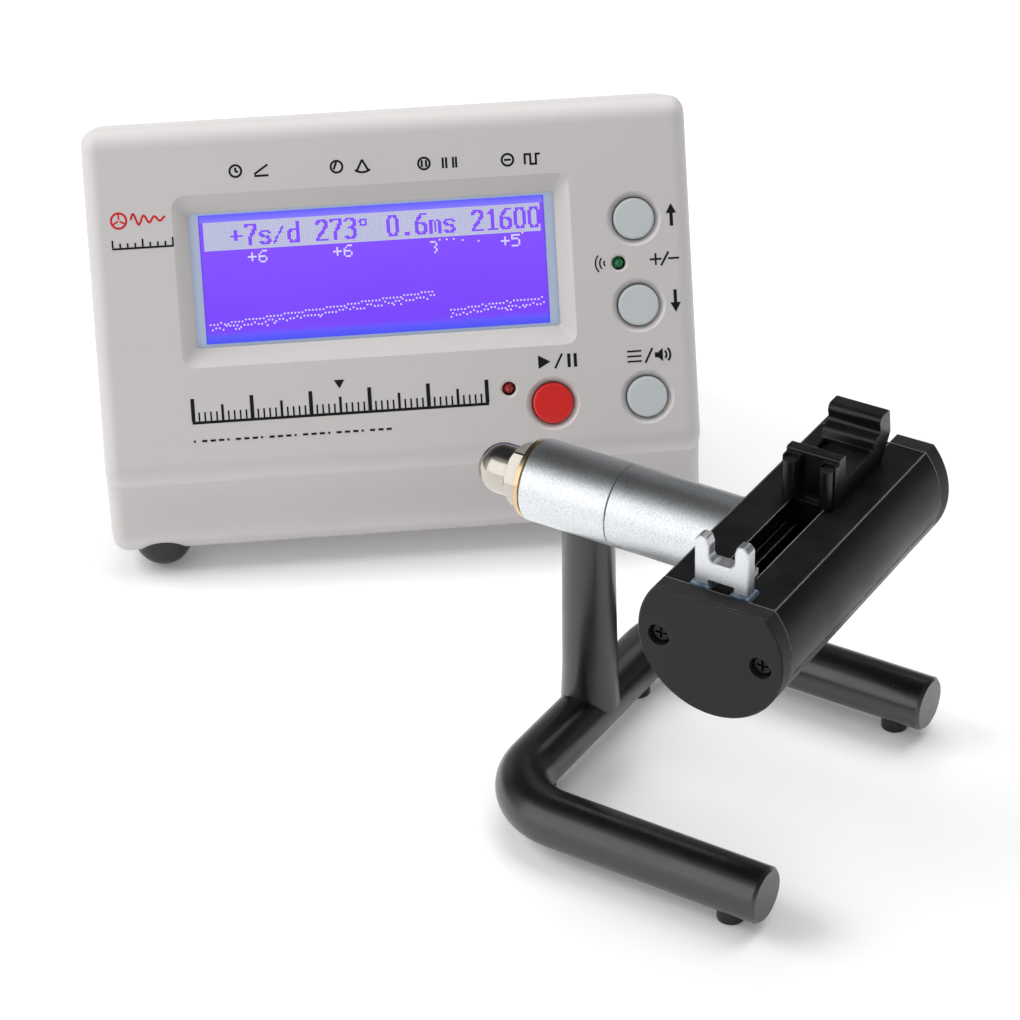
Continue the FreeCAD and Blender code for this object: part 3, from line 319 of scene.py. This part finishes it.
def print_look(name, color):
    """Screen-printed ink, slightly uneven."""
    look = Look(name)
    tone = look.mix(look.fit(look.noise(0.5, 3.0), 0.4, 0.7, 0.0, 0.35), color, scaled(color, 1.9))
    rough = look.fit(look.noise(1.5, 3.0), 0.3, 0.7, 0.35, 0.6)
    return look.surface({"Base Color": tone, "Roughness": rough, "Specular IOR Level": 0.15,
                         "Normal": look.bump(look.noise(0.2), 0.004)})


def board_look():
    """Circuit board: green mask over copper tracks and dull solder pads."""
    look = Look("board_green")
    tracks = look.add("ShaderNodeTexVoronoi", {"Vector": look.where, "Scale": 420.0}, distance="MANHATTAN")
    raised = look.fit(look.math("FRACT", look.math("MULTIPLY", tracks.outputs["Distance"], 3.0)), 0.45, 0.55)
    tone = look.mix(raised, (0.006, 0.10, 0.04, 1), (0.015, 0.19, 0.07, 1))
    spots = look.add("ShaderNodeTexVoronoi", {"Vector": look.where, "Scale": 300.0})
    pads = look.fit(spots.outputs["Distance"], 0.16, 0.12)
    tone = look.mix(pads, tone, (0.45, 0.44, 0.40, 1))
    normal = look.bump(raised, 0.03)
    return look.surface({"Base Color": tone, "Roughness": look.fit(look.noise(6.0), 0.3, 0.7, 0.25, 0.45),
                         "Metallic": look.math("MULTIPLY", pads, 0.8), "Normal": normal})


def isolator_look():
    look = Look("isolator_blue")
    tone = look.mix(look.fit(look.noise(2.5, 4.0), 0.35, 0.65), linear(80, 102, 128), linear(160, 184, 206))
    rough = look.fit(look.noise(1.0), 0.3, 0.7, 0.2, 0.4)
    return look.surface({"Base Color": tone, "Roughness": rough, "IOR": 1.42, "Transmission Weight": 0.45,
                         "Subsurface Weight": 0.3, "Subsurface Radius": (0.4, 0.6, 1.0),
                         "Subsurface Scale": 0.002, "Normal": look.bump(look.noise(0.8), 0.02)})


LOOKS = {
    "housing_plastic": housing_look(),
    "base_plastic": finish("base_plastic", linear(205, 203, 199), 0.5, grain=0.4, depth=0.014, patch=40.0),
    "button_grey": finish("button_grey", linear(198, 203, 205), 0.38, grain=0.25, depth=0.004, speckle=0.03,
                          mottle=0.04, edge=0.3, grime=0.14, dust=0.02),
    "button_red": finish("button_red", linear(216, 26, 20), 0.32, grain=0.25, depth=0.004, speckle=0.03,
                         mottle=0.06, edge=0.3, grime=0.14, dust=0.02, extra={"Coat Weight": 0.2}),
    "rubber_black": finish("rubber_black", linear(13, 13, 14), 0.36, grain=0.5, depth=0.014, speckle=0.08,
                           dust=0.02),
    "window_clear": window_look(),
    # the frame's faint glow is painted light that brightens it in the shade of the window's recess
    "lcd_bezel": finish("lcd_bezel", linear(214, 224, 238), 0.35, mottle=0.05, speckle=0.02, grime=0.1,
                        extra={"Emission Color": linear(196, 208, 228), "Emission Strength": 0.32}),
    "lcd_blue": lcd_look(),
    "backlight_white": finish("backlight_white", linear(238, 240, 248), 0.4),
    "board_green": board_look(),
    "chip_black": finish("chip_black", linear(34, 34, 36), 0.55, grain=0.15, depth=0.01, speckle=0.2),
    "capacitor_sleeve": metal_look("capacitor_sleeve", linear(176, 180, 186), 0.35),
    "screw_zinc": metal_look("screw_zinc", linear(190, 188, 180), 0.34, scratch=0.6),
    "led_green": lamp_look("led_green", linear(8, 112, 60), linear(90, 215, 150)),
    "led_red": lamp_look("led_red", linear(150, 14, 10), linear(235, 90, 70)),
    "ribbon_grey": finish("ribbon_grey", linear(150, 150, 154), 0.4, grain=0.6, depth=0.05, speckle=0.1),
    "jack_black": finish("jack_black", linear(28, 28, 29), 0.48, grain=0.3, depth=0.01, dust=0.06,
                         wear_and_highlight=linear(60, 60, 62)),
    "nickel": metal_look("nickel", linear(190, 184, 174), 0.13, grain=0.9, depth=0.002, speckle=0.05,
                         smear=0.05, edge=0.15, scratch=0.3),
    "stand_black": rod_look(),
    "barrel_silver": metal_look("barrel_silver", linear(219, 222, 224), 0.41, grain=0.50, depth=0.034,
                                speckle=0.40, smear=0.04, edge=0.25, grime=0.3),
    "brass": metal_look("brass", linear(216, 188, 148), 0.25, scratch=0.4, edge=0.15),
    # light grey corner colour: worn chips, and a painted highlight drawn all along the upper edges
    "head_black": finish("head_black", linear(15, 15, 16), 0.36, grain=0.3, depth=0.006, speckle=0.08,
                         smear=0.05, edge=0.6, wear_and_highlight=linear(165, 165, 168), painted_edge_highlight=1.0, dust=0.012,
                         extra={"Specular IOR Level": 0.16}),
    "cap_black": finish("cap_black", linear(38, 37, 39), 0.55, grain=0.35, depth=0.010, speckle=0.08,
                        smear=0.04, edge=0.25, wear_and_highlight=linear(96, 95, 96), dust=0.02,
                        extra={"Specular IOR Level": 0.2}),
    "screw_black": finish("screw_black", linear(20, 20, 21), 0.35, grain=0.3, depth=0.006, speckle=0.1,
                          edge=0.2, wear_and_highlight=linear(90, 88, 84), extra={"Metallic": 0.6}),
    "jaw_silver": metal_look("jaw_silver", linear(228, 230, 233), 0.44, grain=0.34, depth=0.02, speckle=0.3,
                             edge=0.25, grime=0.35),
    "isolator_blue": isolator_look(),
    "jaw_black": finish("jaw_black", linear(16, 16, 17), 0.28, grain=0.5, depth=0.006, speckle=0.06,
                        smear=0.06, edge=0.3, dust=0.015, wear_and_highlight=linear(40, 40, 42),
                        extra={"Specular IOR Level": 0.35}),
    "spring_steel": metal_look("spring_steel", linear(168, 168, 170), 0.28, scratch=0.5),
}

for part in frame["record"]["subparts"]:
    slots = frame["nodes"][part["node"]].data.materials
    if not len(slots):
        slots.append(None)
    for index in range(len(slots)):
        slots[index] = LOOKS[part["material_slot"]]


def add_mesh(name, points, faces, material):
    mesh = bpy.data.meshes.new(name)
    mesh.from_pydata(points, [], faces)
    mesh.materials.append(material)
    piece = bpy.data.objects.new(name, mesh)
    bpy.context.scene.collection.objects.link(piece)
    return piece


# ---------------------------------------------------------------- thin pieces on the panel
def thin_piece(name, polygons, depth, material):
    """Mesh of separate closed slabs: each polygon is the slab's outer face, depth mm above its inner one."""
    points, faces = [], []
    for polygon in polygons:
        turn = sum(((a - polygon[0]).cross(b - polygon[0]) for a, b in zip(polygon, polygon[1:])), Vector())
        outer = polygon if turn.dot(OUT) > 0 else polygon[::-1]
        first, count = len(points), len(outer)
        points.extend(outer)
        points.extend(point - OUT * depth * MM for point in outer)
        faces.append([first + i for i in range(count)])
        faces.append([first + count + i for i in reversed(range(count))])
        for i in range(count):
            j = (i + 1) % count
            faces.append([first + i, first + count + i, first + count + j, first + j])
    piece = add_mesh(name, points, faces, material)
    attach(piece, "base")


def ribbon(points, width, closed=False):
    """Quads of a line of even width through 2-D points, mitred at its corners."""
    points = [Vector(point) for point in points]
    count = len(points)
    sides = []
    for i, point in enumerate(points):
        before = points[i - 1] if closed or i > 0 else None
        after = points[(i + 1) % count] if closed or i < count - 1 else None
        into = (point - before).normalized() if before is not None else (after - point).normalized()
        out = (after - point).normalized() if after is not None else into
        middle = Vector((-into.y - out.y, into.x + out.x)).normalized()
        reach = width / 2 / max(0.35, middle.dot(Vector((-into.y, into.x))))
        sides.append((point + middle * reach, point - middle * reach))
    pairs = list(zip(sides, sides[1:])) + ([(sides[-1], sides[0])] if closed else [])
    return [[a[0], b[0], b[1], a[1]] for a, b in pairs]


def ring(x, y, radius, start=0.0, end=360.0, steps=28):
    """Points of an arc in degrees; a full circle leaves its last point out."""
    full = end - start >= 360.0
    count = steps if full else steps + 1
    angles = [math.radians(start + (end - start) * i / steps) for i in range(count)]
    return [(x + radius * math.cos(a), y + radius * math.sin(a)) for a in angles]


INK_LIFT = 0.03                                  # printing stands this far off the panel, in mm
INK_STEP = 0.0004                                # each stroke lies this much above the one before, in mm


class Print:
    """Collects printed shapes, each drawn about its own place and enlarged there by size."""

    def __init__(self, size=1.0):
        self.polygons = []
        self.lift = INK_LIFT
        self.size = size

    def lay(self, points, at):
        place = [(at[0] + x * self.size, at[1] + y * self.size) for x, y in points]
        self.polygons.append([on_panel(x, y, self.lift) for x, y in place])

    def area(self, points, at=(0.0, 0.0)):
        self.lay(points, at)
        self.lift += INK_STEP

    def stroke(self, points, width, at=(0.0, 0.0), closed=False):
        for quad in ribbon(points, width, closed):
            self.lay(quad, at)
        self.lift += INK_STEP


CLOCK_AT, SLOPE_AT = (-42.8, 82.3), (-35.6, 82.3)
DIAL_AT, SWING_AT = (-14.2, 81.8), (-6.9, 81.4)
BEAT_AT, BARS_AT = (10.6, 81.2), (17.8, 81.1)
MINUS_AT, PULSE_AT = (34.4, 80.8), (41.4, 80.7)


def draw_column_marks(ink):
    """Small signs over the display: daily rate, amplitude, beat error and beat settings."""
    pen = 0.50
    for place in (CLOCK_AT, DIAL_AT, BEAT_AT, MINUS_AT):
        ink.stroke(ring(0, 0, 1.35), pen, place, closed=True)
    ink.stroke([(0, 0.8), (0, 0), (0.6, -0.3)], pen, CLOCK_AT)
    ink.stroke([(-1.6, -1.0), (1.6, 1.1)], pen, SLOPE_AT)
    ink.stroke([(-1.6, -1.4), (1.7, -1.4)], pen, SLOPE_AT)
    ink.stroke([(0, 1.1), (-0.7, -0.6)], pen, DIAL_AT)
    ink.stroke(ring(0, 1.6, 2.9, 232, 308), pen, SWING_AT)
    ink.stroke([(0, 1.6), (-1.3, -0.9)], pen, SWING_AT)
    ink.stroke([(0, 1.6), (1.3, -0.9)], pen, SWING_AT)
    ink.stroke([(-0.5, -0.8), (-0.5, 0.8)], pen, BEAT_AT)
    ink.stroke([(0.5, -0.8), (0.5, 0.8)], pen, BEAT_AT)
    for x in (-1.5, -0.7, 0.9, 1.6):
        ink.stroke([(x, -1.3), (x, 1.2)], pen, BARS_AT)
    ink.stroke([(-0.8, 0), (0.8, 0)], pen, MINUS_AT)
    ink.stroke([(-1.7, -1.2), (-1.7, 1.1), (-0.4, 1.1), (-0.4, -1.2), (0.9, -1.2), (0.9, 1.1), (1.9, 1.1)],
               pen, PULSE_AT)


ARROW_U, UP_ARROW_V, DOWN_ARROW_V = 80.3, 62.4, 37.8
PLUS_AT, PLUS_SLASH_AT, LESS_AT = (75.2, 50.0), (77.9, 50.0), (80.4, 50.0)
PLAY_AT, PLAY_SLASH_AT, PAUSE_AT = (41.4, 22.6), (45.7, 22.6), (49.6, 22.6)
LIST_AT, LIST_SLASH_AT, HORN_AT, SOUND_AT = (67.6, 22.5), (71.8, 22.5), (75.6, 22.5), (75.3, 22.5)
SIGNAL_AT = (61.4, 49.7)


def draw_button_marks(ink):
    """Arrows beside the setting buttons, plus and minus, start and pause, list and sound, signal waves."""
    pen = 0.48
    for v, turn in ((UP_ARROW_V, 1), (DOWN_ARROW_V, -1)):
        arrow = [(-0.4, -2.6), (0.4, -2.6), (0.4, 0.4), (1.25, 0.4), (0, 2.7), (-1.25, 0.4), (-0.4, 0.4)]
        ink.area([(x, y * turn) for x, y in arrow], (ARROW_U, v))
    ink.stroke([(-1.4, 0), (1.4, 0)], 0.45, PLUS_AT)
    ink.stroke([(0, 0.23), (0, 1.4)], 0.45, PLUS_AT)
    ink.stroke([(0, -0.23), (0, -1.4)], 0.45, PLUS_AT)
    ink.stroke([(-1.0, -1.6), (0.9, 1.6)], pen, PLUS_SLASH_AT)
    ink.stroke([(-1.3, 0), (1.3, 0)], 0.45, LESS_AT)
    ink.area([(-1.3, -1.6), (1.6, 0), (-1.3, 1.6)], PLAY_AT)
    ink.stroke([(-0.9, -1.7), (0.9, 1.7)], pen, PLAY_SLASH_AT)
    for x in (-0.75, 0.75):
        ink.stroke([(x, -1.6), (x, 1.6)], 0.75, PAUSE_AT)
    for y in (-1.2, 0.0, 1.2):
        ink.stroke([(-1.7, y), (1.7, y)], 0.42, LIST_AT)
    ink.stroke([(-0.9, -1.7), (0.9, 1.7)], pen, LIST_SLASH_AT)
    ink.area([(-1.7, -0.6), (-0.9, -0.6), (0.2, -1.6), (0.2, 1.6), (-0.9, 0.6), (-1.7, 0.6)], HORN_AT)
    for radius in (1.3, 2.2):
        ink.stroke(ring(0, 0, radius, -42, 42, 10), pen, SOUND_AT)
    for radius in (0.9, 1.9, 2.9):
        ink.stroke(ring(0, 0, radius, 138, 222, 12), 0.36, SIGNAL_AT)


def draw_scale(ink):
    """Graduated rate scale under the display, with a finer rule below it."""
    left, right, base = -60.0, 25.0, 11.6
    ink.stroke([(left, base), (right, base)], 0.8)
    count = 50
    for i in range(count + 1):
        u = left + 0.4 + (right - left - 0.8) * i / count
        height, width = (7.0, 1.1) if i % 10 == 0 else (4.9, 0.75) if i % 5 == 0 else (3.0, 0.5)
        ink.stroke([(u, base + 0.41), (u, base + height)], width)
    middle = (left + right) / 2
    ink.area([(-1.5, 2.6), (1.5, 2.6), (0, 0.1)], (middle, base + 7.1))
    rule_v, dash_pitch = 6.3, 2.4
    for i in range(24):
        u = left + i * dash_pitch
        ink.stroke([(u, rule_v), (u + (1.5 if i % 4 else 0.6), rule_v)], 0.62)


WHEEL_AT, WAVE_AT = (-76.6, 70.3), (-73.2, 70.3)


def draw_emblem(ink):
    """A small wheel with three spokes and a dying wave."""
    ink.stroke(ring(0, 0, 2.15), 0.62, WHEEL_AT, closed=True)
    for angle in (90, 210, 330):
        a = math.radians(angle)
        ink.stroke([(0.25 * math.cos(a), 0.25 * math.sin(a)), (1.85 * math.cos(a), 1.85 * math.sin(a))],
                   0.5, WHEEL_AT)
    wave = [(i * 0.2, 1.9 * math.exp(-i * 0.028) * math.sin(i * 0.42)) for i in range(50)]
    ink.stroke(wave, 0.6, WAVE_AT)


def draw_side_rule(ink):
    ink.stroke([(-79.0, 62.4), (-61.6, 62.4)], 0.55)
    for i in range(9):
        u = -78.8 + i * 17.0 / 8
        ink.stroke([(u, 62.7), (u, 64.9 if i % 4 == 0 else 63.9)], 0.5)


INK_BLACK = print_look("ink_black", linear(20, 20, 22))
INK_RED = print_look("ink_red", linear(196, 34, 40))
signs = Print(size=1.22)
draw_column_marks(signs)
draw_button_marks(signs)
rules = Print()
draw_scale(rules)
draw_side_rule(rules)
thin_piece("printed_marks", signs.polygons + rules.polygons, INK_LIFT, INK_BLACK)
red = Print()
draw_emblem(red)
thin_piece("printed_emblem", red.polygons, INK_LIFT, INK_RED)


# ---------------------------------------------------------------- spring of the sliding jaw
COIL_R, WIRE_R, COIL_TURNS = 2.35, 0.3, 15       # mm
COIL_STEPS, WIRE_SIDES = 20, 8                   # points per turn, sides of the wire


def spring_line():
    """Axis of the spring: its direction towards the head's rear, and its two ends in metres."""
    along = Vector(JOINTS["jaw_slide"]["axis"]).normalized()
    low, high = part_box("jaw_spring")
    reach = (COIL_R + WIRE_R) * MM
    half = ((high.x - low.x) / 2 - reach * abs(along.y)) / abs(along.x)
    middle = (low + high) / 2
    return along, middle - along * half, middle + along * half


def add_jaw_spring():
    """Closed coil of round wire in the jaw spring's place; the jaw_spring part itself is hidden."""
    along, front, rear = spring_line()
    side = along.orthogonal().normalized()
    above = along.cross(side)
    start = front + along * WIRE_R * MM
    length = (rear - front).length - 2 * WIRE_R * MM
    count = COIL_TURNS * COIL_STEPS
    points, faces = [], []
    for i in range(count + 1):
        turn = math.tau * i / COIL_STEPS
        outward = side * math.cos(turn) + above * math.sin(turn)
        wire_at = start + along * (length * i / count) + outward * COIL_R * MM
        for j in range(WIRE_SIDES):
            around = math.tau * j / WIRE_SIDES
            points.append(wire_at + (outward * math.cos(around) + along * math.sin(around)) * WIRE_R * MM)
    for i in range(count):
        for j in range(WIRE_SIDES):
            a, b = i * WIRE_SIDES + j, i * WIRE_SIDES + (j + 1) % WIRE_SIDES
            faces.append([a, a + WIRE_SIDES, b + WIRE_SIDES, b])
    faces.append(list(range(WIRE_SIDES)))
    faces.append([count * WIRE_SIDES + j for j in reversed(range(WIRE_SIDES))])
    coil = add_mesh("jaw_spring_coil", points, faces, LOOKS["spring_steel"])
    coil.data.polygons.foreach_set("use_smooth", [True] * len(faces))
    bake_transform(coil)
    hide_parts("jaw_spring")


add_jaw_spring()


# ---------------------------------------------------------------- what the display shows
COLUMNS, ROWS = 192, 64
DOT_SIZE = 0.46                                  # lit square in each dot cell
DOT_W = -6.74                                    # level of the lit dots from the panel's face, over the glass
DOT_DEPTH = 0.058                                # thickness of the lit dots

BIG = {  # strokes of the large figures on a 6 by 12 dot cell
    "0": [[(1.6, 0), (3.4, 0), (5, 2), (5, 9), (3.4, 11), (1.6, 11), (0, 9), (0, 2), (1.6, 0)]],
    "1": [[(1, 9), (3, 11), (3, 0)], [(1, 0), (5, 0)]],
    "2": [[(0, 9), (1.4, 11), (3.6, 11), (5, 9.5), (5, 7.5), (0, 1), (0, 0), (5, 0)]],
    "3": [[(0, 10), (1.4, 11), (3.6, 11), (5, 9.5), (5, 7.5), (3.6, 6), (2, 6)],
          [(3.6, 6), (5, 4.5), (5, 1.8), (3.6, 0), (1.4, 0), (0, 1)]],
    "6": [[(4.6, 11), (3, 11), (0.6, 8), (0, 5), (0, 2), (1.4, 0), (3.6, 0), (5, 2), (5, 4.6), (3.6, 6.4),
           (1.4, 6.4), (0, 5)]],
    "7": [[(0, 9.5), (0, 11), (5, 11), (5, 9), (2, 3.5), (2, 0)]],
    "s": [[(5, 6), (3.8, 7.4), (1.4, 7.4), (0, 6), (1.4, 4), (3.8, 3.6), (5, 2), (3.6, 0), (1.4, 0),
           (0, 1.2)]],
    "/": [[(0, 0), (5, 9)]],
    "d": [[(5, 11), (5, 0)],
          [(5, 6), (3.6, 7.4), (1.6, 7.4), (0, 5.5), (0, 2), (1.6, 0), (3.6, 0), (5, 1.6)]],
    "m": [[(0, 0), (0, 7)], [(1, 0), (1, 7)], [(2, 7), (2, 7)], [(3, 1), (3, 6)], [(4, 7), (5, 7)],
          [(5, 0), (5, 6)], [(6, 0), (6, 6)]],
    "+": [[(0, 5), (5, 5)], [(2.4, 2.6), (2.4, 7.6)]],
    "°": [[(1.5, 7), (0.4, 8.6), (1.5, 10.4), (3.4, 10.4), (4.4, 8.6), (3.4, 7), (1.5, 7)]],
    ".": [[(2, 0), (2.6, 0)], [(2, 1), (2.6, 1)]],
}
SMALL = {  # strokes of the small figures on a 5 by 7 dot cell
    "+": [[(0, 3), (4, 3)], [(2, 1), (2, 5)]],
    "6": [[(4, 6), (2, 6), (0, 4), (0, 1), (1, 0), (3, 0), (4, 1), (4, 2), (3, 3), (0, 3)]],
    "5": [[(4, 6), (0, 6), (0, 4), (3, 4), (4, 3), (4, 1), (3, 0), (0, 0)]],
    "3": [[(0, 6), (2, 6), (3, 5), (3, 4), (2, 3), (3, 2), (3, 1), (2, 0)]],
}


def dots_of(strokes, left, bottom, pen):
    """Dots that a pen one dot high and pen dots wide covers along the strokes."""
    covered = set()
    for stroke in strokes:
        for (x0, y0), (x1, y1) in zip(stroke, stroke[1:]):
            steps = max(1, int(3 * max(abs(x1 - x0), abs(y1 - y0))))
            for i in range(steps + 1):
                x = x0 + (x1 - x0) * i / steps
                y = y0 + (y1 - y0) * i / steps
                for extra in range(pen):
                    covered.add((left + int(x + 0.5) + extra, bottom + int(y + 0.5)))
    return covered


def dot_quad(column, row, w=DOT_W):
    u = LCD_U + (column + 0.5 - COLUMNS / 2) * DOT
    v = LCD_V + (row + 0.5 - ROWS / 2) * DOT
    half = DOT_SIZE / 2
    corners = ((-half, -half), (half, -half), (half, half), (-half, half))
    return [on_panel(u + x, v + y, w) for x, y in corners]


def header_dots():
    """Reading line: a lit band with its figures left dark."""
    left, pitch, bottom = 16, 8, 50
    figures = set()
    for i, letter in enumerate("+7s/d 273° 0.6ms 21600"):
        pen = 1 if letter in "°/m" else 2
        figures |= dots_of(BIG.get(letter, []), left + i * pitch, bottom, pen)
    band = {(column, row) for column in range(1, COLUMNS - 1) for row in range(48, ROWS)}
    return band - figures


def trace_dots():
    """Two rows of beat dots that climb, run off and start again, with the small correction figures."""
    lit = set()
    for text, column in (("+6", 25), ("+6", 73), ("+5", 168)):
        for i, letter in enumerate(text):
            lit |= dots_of(SMALL[letter], column + i * 6, 40, 1)
    lit |= dots_of(SMALL["3"], 128, 39, 1)
    for column, row in ((133, 46), (137, 46), (141, 46), (146, 45), (155, 44), (180, 47)):
        lit.add((column, row))
    jump, gap = 133, range(128, 137)             # columns: where the rows start again, and the empty stretch
    for column in range(1, COLUMNS - 1, 2):
        if column in gap:
            continue
        start, slope = (134, 0.070) if column > jump else (0, 0.088)
        level = 6 + (column - start) * slope
        lit.add((column, int(level + rng.random() * 0.6)))
        lit.add((column + 1, int(level - 3 + rng.random() * 1.5)))
        if rng.random() < 0.1:
            lit.add((column, int(level - 4)))
    return {(column, row) for column, row in lit if 0 <= column < COLUMNS and 1 <= row < ROWS}


HEADER = lit_dot_look("lcd_band", linear(208, 214, 216), 0.96)
TRACE = lit_dot_look("lcd_trace", linear(236, 230, 252), 1.0)
thin_piece("display_band", [dot_quad(*dot) for dot in sorted(header_dots())], DOT_DEPTH, HEADER)
thin_piece("display_traces", [dot_quad(*dot) for dot in sorted(trace_dots())], DOT_DEPTH, TRACE)


# ---------------------------------------------------------------- floor, light and camera
def floor_look():
    look = Look("floor_paper")
    tone = look.mix(look.fit(look.noise(400.0, 4.0), 0.3, 0.7), (0.90, 0.90, 0.90, 1), (0.93, 0.93, 0.935, 1))
    rough = look.fit(look.noise(60.0), 0.3, 0.7, 0.75, 0.9)
    return look.surface({"Base Color": tone, "Roughness": rough, "Specular IOR Level": 0.05,
                         "Emission Color": (1, 1, 1, 1), "Emission Strength": 0.12,
                         "Normal": look.bump(look.noise(2.0), 0.01)})


FLOOR_GAP = 0.0002                               # the floor lies this far under the feet, in metres


def add_floor():
    size = 4.0
    corners = [(-size, -size, 0), (size, -size, 0), (size, size, 0), (-size, size, 0)]
    floor = add_mesh("floor", corners, [(0, 1, 2, 3)], floor_look())
    floor.location.z = -FLOOR_GAP


def add_area(name, location, target, size, energy, mirrored=True, lights_up=True):
    """Rectangular light facing target; mirrored: shows in reflections, lights_up: lights matte surfaces."""
    light = bpy.data.lights.new(name, "AREA")
    light.shape = "RECTANGLE"
    light.size, light.size_y = size
    light.energy = energy
    lamp = bpy.data.objects.new(name, light)
    lamp.location = location
    lamp.visible_glossy = mirrored
    lamp.visible_diffuse = lights_up
    lamp.rotation_euler = (Vector(target) - Vector(location)).to_track_quat("-Z", "Y").to_euler()
    bpy.context.scene.collection.objects.link(lamp)


FRONT_WALL = Vector((-0.59, -0.79, -0.17))       # towards the middle of the room's bright side


def add_world():
    """Room with a bright side at the front left and a dark ceiling, which gives round metal its dark band."""
    world = bpy.data.worlds.new("room")
    world.use_nodes = True
    bpy.context.scene.world = world
    tree = world.node_tree
    tree.nodes.clear()

    def add(kind, values=None, **settings):
        return add_node(tree, kind, values or {}, settings)

    direction = add("ShaderNodeTexCoord").outputs["Generated"]
    height = add("ShaderNodeSeparateXYZ", {0: direction}).outputs["Z"]
    towards = add("ShaderNodeVectorMath", {0: direction, 1: FRONT_WALL}, operation="DOT_PRODUCT")
    ahead = towards.outputs["Value"]
    front = add("ShaderNodeMapRange", {"Value": ahead, "From Min": 0.0, "From Max": 0.32}).outputs["Result"]
    low = add("ShaderNodeMapRange", {"Value": height, "From Min": 0.62, "From Max": 0.30}).outputs["Result"]
    walls = add("ShaderNodeMix", {0: low, 6: (0.09, 0.09, 0.095, 1), 7: (0.36, 0.37, 0.38, 1)},
                data_type="RGBA")
    tone = add("ShaderNodeMix", {0: front, 6: walls.outputs[2], 7: (0.98, 0.99, 1.0, 1)}, data_type="RGBA")
    seen = add("ShaderNodeLightPath").outputs["Is Camera Ray"]
    room = add("ShaderNodeBackground", {"Color": tone.outputs[2], "Strength": 0.55})
    paper = add("ShaderNodeBackground", {"Color": (1, 1, 1, 1), "Strength": 1.0})
    both = add("ShaderNodeMixShader", {0: seen, 1: room.outputs[0], 2: paper.outputs[0]})
    add("ShaderNodeOutputWorld", {"Surface": both.outputs[0]})


CAMERA_AT = Vector((-0.05467, -0.7375, 0.51729))
YAW, PITCH, ROLL = 0.0752, 0.5698, -0.0275      # radians: right of +Y, below the horizon, about the view
LENS = 112.7


def add_camera():
    ahead = Vector((math.sin(YAW) * math.cos(PITCH), math.cos(YAW) * math.cos(PITCH), -math.sin(PITCH)))
    level = Vector((math.cos(YAW), -math.sin(YAW), 0))
    above = level.cross(ahead)
    right = level * math.cos(ROLL) + above * math.sin(ROLL)
    up = above * math.cos(ROLL) - level * math.sin(ROLL)
    camera = bpy.data.cameras.new("camera")
    camera.sensor_width = 36.0
    camera.lens = LENS
    camera.clip_start = 0.01
    holder = bpy.data.objects.new("camera", camera)
    place = Matrix((right, up, -ahead)).transposed().to_4x4()
    place.translation = CAMERA_AT
    holder.matrix_world = place
    bpy.context.scene.collection.objects.link(holder)
    bpy.context.scene.camera = holder


add_floor()
add_world()
add_area("key", (-0.95, 0.15, 0.85), (0.0, 0.0, 0.04), (0.8, 0.8), 10.0, mirrored=False)
add_area("overhead", (0.30, 0.30, 1.10), (0.0, -0.05, 0.0), (1.4, 1.0), 13.0, mirrored=False)
add_area("card", (-1.15, -0.62, 0.62), (0.0, -0.05, 0.06), (1.5, 1.3), 7.0, lights_up=False)
add_area("edge_strip", (0.43, 0.41, 0.72), (0.03, -0.09, 0.09), (0.5, 0.08), 0.5, lights_up=False)
add_camera()
bpy.context.scene.view_settings.view_transform = "Standard"
